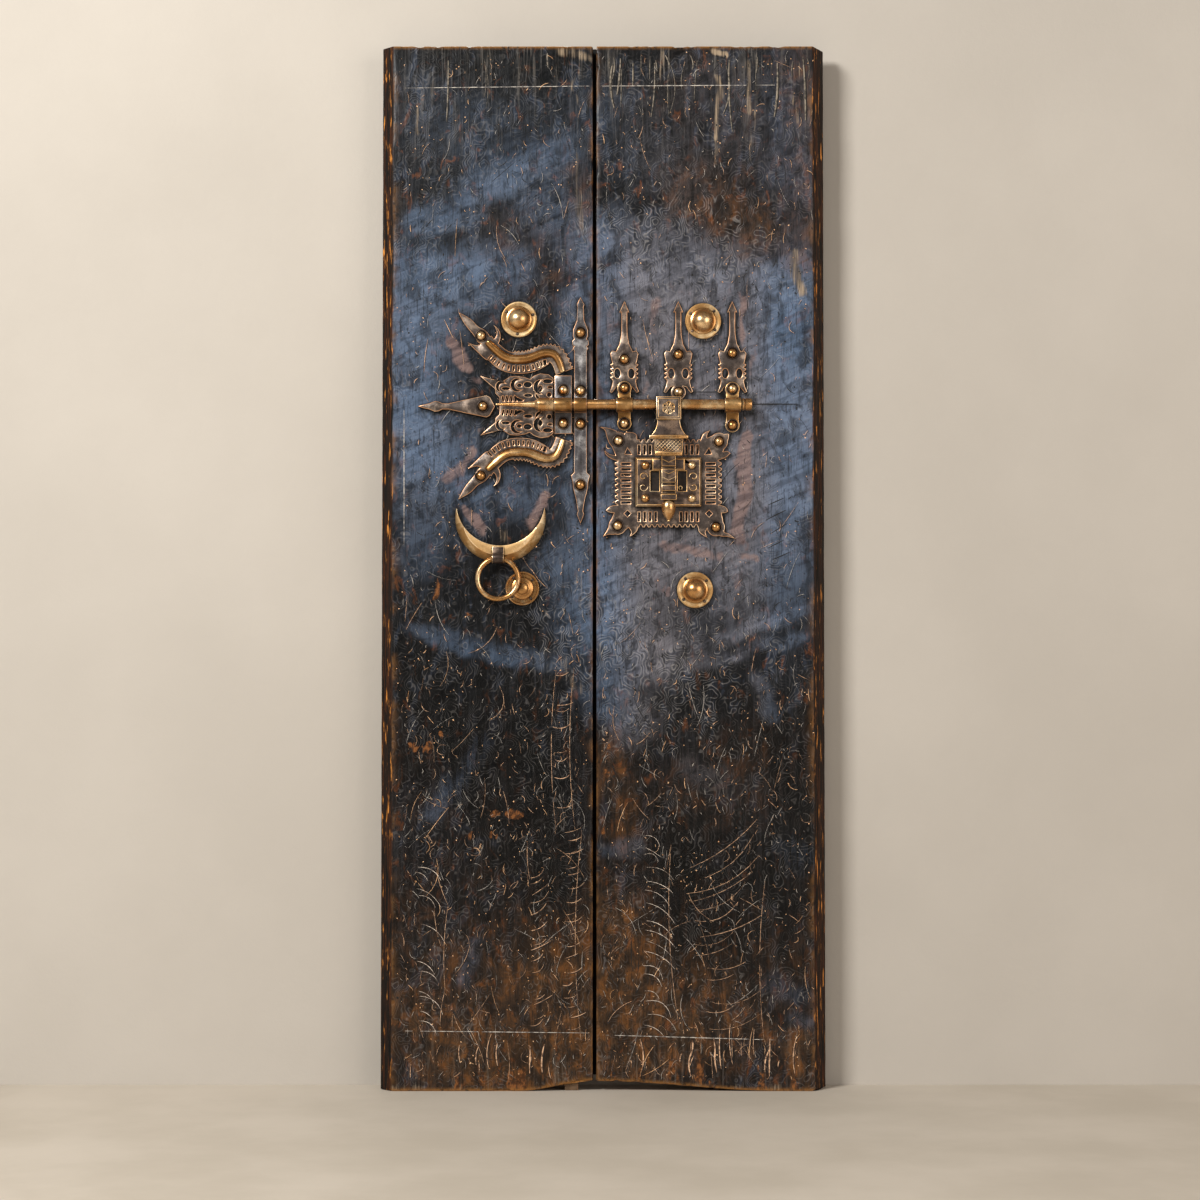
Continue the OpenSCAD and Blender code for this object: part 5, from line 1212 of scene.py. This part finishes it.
def rib_rows(rows, rng):
    """The ribs of some rows, each a little off its place and some of them missing."""
    ribs = []
    for x, y, step, count, across, down, bow in rows:
        for k in range(count):
            reach, dx, dy = rng.uniform(0.5, 1.2), rng.normal(0, 2), rng.normal(0, 2)
            if rng.random() > RIBS_LOST:
                x0, y0 = x + dx, y + step * k + dy
                fall = down * reach * rng.uniform(0.7, 1.3)
                bend, width = bow + rng.normal(0, 0.05), rng.uniform(0.45, 1.1)
                ribs.append(stroke(x0, y0, x0 + across * reach, y0 + fall, bend, 7, width))
    return ribs


def loose_lines(rng, count, low, high, bend):
    """Scratches at random over the leaves, most of them steep and in the lower half."""
    lines = []
    while len(lines) < count:
        x, y = rng.uniform(*LINES_X_PX), rng.uniform(*LINES_Y_PX)
        length, turn = rng.uniform(low, high), rng.choice([1.0, 1.5, 2.2]) + rng.normal(0, 0.3)
        dx, dy = length * math.cos(turn) / 2, length * math.sin(turn) / 2
        bow, width = rng.normal(0, bend), rng.uniform(0.35, 0.9)
        left, right, top, foot = x - abs(dx), x + abs(dx), y - abs(dy), y + abs(dy)
        across_gap = right > LINES_GAP_PX[0] and left < LINES_GAP_PX[1]
        inside = FACE_X_PX[0] < left and right < FACE_X_PX[1] and FACE_Y_PX[0] < top and foot < FACE_Y_PX[1]
        share = 0.35 + 0.65 * ramp(np.float64(y), *LINES_LOWER_PX)
        if inside and not across_gap and rng.random() < share:
            lines.append(stroke(x - dx, y - dy, x + dx, y + dy, bow, 6, width))
    return lines


def end_strokes(rng, count, start, spread, low, high, spare):
    """Upright tapering strokes from an end of the leaves, fewer on the left leaf by the share spare."""
    lines = []
    while len(lines) < count:
        x, y, length = rng.uniform(*STROKES_X_PX), start + rng.normal(0, spread), rng.uniform(low, high)
        lean, bow, width = rng.normal(0, 2), rng.normal(0, 0.06), 0.25 + rng.random() ** 2
        in_gap = STROKES_GAP_PX[0] < x < STROKES_GAP_PX[1]
        if not in_gap and (x > STROKES_GAP_PX[1] or rng.random() > spare):
            lines.append(stroke(x, y, x + lean, y + length, bow, 8, width))
    return lines


def scratch_work():
    """Carved ribs, scratches and nicks of several tones, scribed lines, drips and strokes at the foot."""
    rng = np.random.default_rng(77)
    carve("cream_ribs", rib_rows(CREAM_RIBS_PX, rng), 0.66 * MM, cream_scratch)
    carve("swept_ribs", rib_rows(SWEPT_RIBS_PX, rng), 0.52 * MM, tan_scratch)
    ribs = rib_rows(TAN_RIBS_PX, rng) + [stroke(*spine, 0.03, 8, 0.6) for spine in SPINES_PX]
    carve("tan_ribs", ribs, 0.74 * MM, tan_scratch)
    loose = loose_lines(rng, LONG_LINES, 16, 42, 0.07) + loose_lines(rng, CURVED_MARKS, 4, 13, 0.14)
    loose += loose_lines(rng, SHORT_LINES, 2, 5, 0.1)
    share = rng.random(len(loose))
    carve("golden_scratches", [p for p, q in zip(loose, share) if q < 0.1], 0.62 * MM, gold_scratch)
    carve("tan_scratches", [p for p, q in zip(loose, share) if 0.1 <= q < 0.38], 0.52 * MM, tan_scratch)
    carve("grey_scratches", [p for p, q in zip(loose, share) if 0.38 <= q < 0.7], 0.5 * MM, pale_scratch)
    dark = [p for p, q in zip(loose, share) if q >= 0.7]
    dark += [stroke(*line, 0, 8, 1.0) for line in GROOVE_LINES_PX + DASHES_PX]
    piece(draw("dark_nicks", dark, 1.1 * MM, black_nick_and_shadow), "root")
    scribed = [stroke(*line, 0, 12, 0.9) for line in SCRIBED_PX]
    piece(draw("scribed_lines", scribed, 1.0 * MM, pale_scratch), "root")
    carve("dried_drips", end_strokes(rng, DRIPS, 58, 4, 8, 76, 0.6), 1.9 * MM, drip_paint)
    carve("foot_scratches", end_strokes(rng, FLAMES, 1068, 8, -42, -6, 0), 1.5 * MM, tan_scratch)


def carve(name, paths, half_width, material):
    """Strokes with a dark copy set off down and to the right beside them: a painted shadow of each cut."""
    cut_shadows = [[(x + CUT_SHADOW_PX, y + CUT_SHADOW_PX, w * 1.2) for x, y, w in path] for path in paths]
    piece(draw(name + "_cut", cut_shadows, half_width, black_nick_and_shadow, 0.06), "root")
    piece(draw(name, paths, half_width, material), "root")


def flecks():
    """Pale specks where the lacquer chipped, and round worm holes."""
    rng = np.random.default_rng(19)
    chip = lathe("fleck stamp", in_mm(CHIP_MM), 6, 60)
    for name, count, size, material in (("tan_flecks", 1300, (0.4, 1.25), gold_scratch),
                                        ("worm_holes", 650, (0.7, 2.2), black_nick_and_shadow)):
        points, sizes, turns = [], [], []
        while len(points) < count:
            px, py = rng.uniform(*FLECKS_X_PX), rng.uniform(*FLECKS_Y_PX)
            x, z = to_face(px, py)
            lower, patch = ramp(np.float64(py), *FLECKS_LOWER_PX), ramp(cloud(x, z, 70 * MM, 71), 0.55, 0.75)
            in_gap = FLECKS_GAP_PX[0] < px < FLECKS_GAP_PX[1]
            if in_gap or rng.random() > 0.2 + 0.3 * lower + 1.6 * patch:
                continue
            points.append((float(x), float(FACE_Y + sink(x, z)), float(z)))
            k = rng.uniform(*size)
            sizes.append((k * rng.uniform(0.6, 1.3), 1, k * rng.uniform(0.8, 2.0)))
            turns.append((0, rng.uniform(0, 6.28), 0))
        piece(scatter(name, chip, points, turns, sizes, material), "root")
    bpy.data.objects.remove(chip)


scratch_work()
flecks()


# Stage: a pale floor, a plain plaster wall behind the door, soft lamps and the camera

def plaster():
    """Plain limewashed wall, matt and finely trowelled, and clear from behind to show the door's back."""
    mat, tree, shader = finish("limewashed wall")
    patch = marks_of(tree, (900, 900, 900), 1.0, 5)
    grit = marks_of(tree, (16, 16, 16), 3.0, 5)
    tree.links.new(lay(tree, linear("#bbb4ab"), "#c3bcb3", patch, 0.3, 0.7), shader.inputs["Base Color"])
    bump = add(tree, "ShaderNodeBump", {"Strength": 0.35, "Distance": 1.5 * MM, "Height": grit})
    tree.links.new(bump, shader.inputs["Normal"])
    shader.inputs["Roughness"].default_value = 0.9
    clear_behind(tree, shader)
    return mat


def gap_shade_backing():
    """A black sheet behind the meeting gap that stands in for the shade there: painted shade. It too is clear
    from behind.
    """
    mat, tree, shader = finish("black backing of painted shade")
    faint_mottle = marks_of(tree, (2, 2, 2), 1.0, 2)
    tree.links.new(lay(tree, linear("#030303"), "#0b0a09", faint_mottle, 0.35, 0.65), shader.inputs["Base Color"])
    shader.inputs["Roughness"].default_value = 0.9
    clear_behind(tree, shader)
    return mat


def clear_behind(tree, shader):
    """Lets the eye and the light through a material from its back."""
    back = add(tree, "ShaderNodeNewGeometry", out="Backfacing")
    clear = add(tree, "ShaderNodeBsdfTransparent")
    mix = add(tree, "ShaderNodeMixShader", {0: back, 1: shader.outputs[0], 2: clear})
    tree.links.new(mix, tree.nodes["Material Output"].inputs["Surface"])


def concrete():
    """Pale trowelled floor, matt with a slight sheen."""
    mat, tree, shader = finish("pale trowelled floor")
    patch = marks_of(tree, (300, 300, 300), 2.0, 6)
    tree.links.new(lay(tree, linear("#bcb2a4"), "#c8beb1", patch, 0.3, 0.7), shader.inputs["Base Color"])
    shader.inputs["Roughness"].default_value = 0.6
    return mat


def upright(x0, x1, z0, z1, y):
    """Corners of an upright rectangle that faces the front."""
    return [(x0, y, z0), (x1, y, z0), (x1, y, z1), (x0, y, z1)]


def plane(name, corners, material):
    """A flat piece of the stage."""
    mesh = bpy.data.meshes.new(name)
    mesh.from_pydata(corners, [], [(0, 1, 2, 3)])
    mesh.materials.append(material)
    obj = link(name, mesh)
    return obj


def lamp(name, place, target, size, watts, colour):
    """A soft square lamp: where it stands and looks, its side in metres, its watts and its colour."""
    data = bpy.data.lights.new(name, "AREA")
    data.shape, data.size, data.energy = "SQUARE", size, watts
    data.color = linear(colour)[:3]
    obj = bpy.data.objects.new(name, data)
    bpy.context.scene.collection.objects.link(obj)
    obj.location = place
    obj.rotation_mode = "QUATERNION"
    obj.rotation_quaternion = (Vector(target) - Vector(place)).to_track_quat("-Z", "Y")
    return obj


STAGE, WALL_GAP = 9, 6 * MM
# Where the black sheet of painted shade behind the meeting gap reaches past the gap, above the floor, over
# the top and off the leaves' back
SHADE_SHEET_SIDE, SHADE_SHEET_FOOT, SHADE_SHEET_OVER, SHADE_SHEET_OFF = 4 * MM, 24 * MM, 6 * MM, 0.5 * MM


def set_stage():
    """Wall, floor, the black sheet of painted shade behind the gap, three lamps, the sky and the camera."""
    plane("wall", upright(-STAGE, STAGE, 0, STAGE, cad_box[1].y + WALL_GAP), plaster())
    corners = [(-STAGE, -STAGE, 0), (STAGE, -STAGE, 0), (STAGE, STAGE, 0), (-STAGE, STAGE, 0)]
    plane("floor", corners, concrete())
    # A black sheet behind the meeting gap: painted shade
    edge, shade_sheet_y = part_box("left_leaf")[1].x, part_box("left_leaf")[1].y + SHADE_SHEET_OFF
    x0, x1 = edge - SHADE_SHEET_SIDE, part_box("right_leaf")[0].x + SHADE_SHEET_SIDE
    plane("gap_cloth", upright(x0, x1, SHADE_SHEET_FOOT, TOP_Z + SHADE_SHEET_OVER, shade_sheet_y), gap_shade_backing())
    lamp("key", (-2.6, -3.4, 3.4), (0, 0, 1.1), 1.1, 238, "#fffdf8")
    lamp("fill", (3.0, -3.4, 1.8), (0, 0, 0.9), 2.6, 58, "#fff6ec")
    back = lamp("back", (-1.2, 3.6, 2.8), (0, 0, 1.0), 2.4, 150, "#fff8ee")
    lit = bpy.data.collections.new("what the back lamp lights")
    for obj in bpy.context.scene.objects:
        if obj.type == "MESH" and obj.name not in ("wall", "floor", "gap_cloth"):
            lit.objects.link(obj)
    back.light_linking.receiver_collection = back.light_linking.blocker_collection = lit
    world = bpy.data.worlds.new("studio")
    bpy.context.scene.world = world
    world.use_nodes = True
    sky = world.node_tree.nodes["Background"]
    sky.inputs["Color"].default_value = linear("#eceae6")
    sky.inputs["Strength"].default_value = 0.26
    data = bpy.data.cameras.new("camera")
    data.sensor_width, data.sensor_fit = SENSOR, "HORIZONTAL"
    data.lens = SENSOR * FOCAL_PX / PHOTO_SIZE
    data.clip_end = 60
    cam = bpy.data.objects.new("camera", data)
    bpy.context.scene.collection.objects.link(cam)
    cam.location = EYE
    cam.rotation_euler = (math.pi / 2 + PITCH, 0, 0)
    bpy.context.scene.camera = cam
    bpy.context.scene.view_settings.view_transform = "Standard"


set_stage()
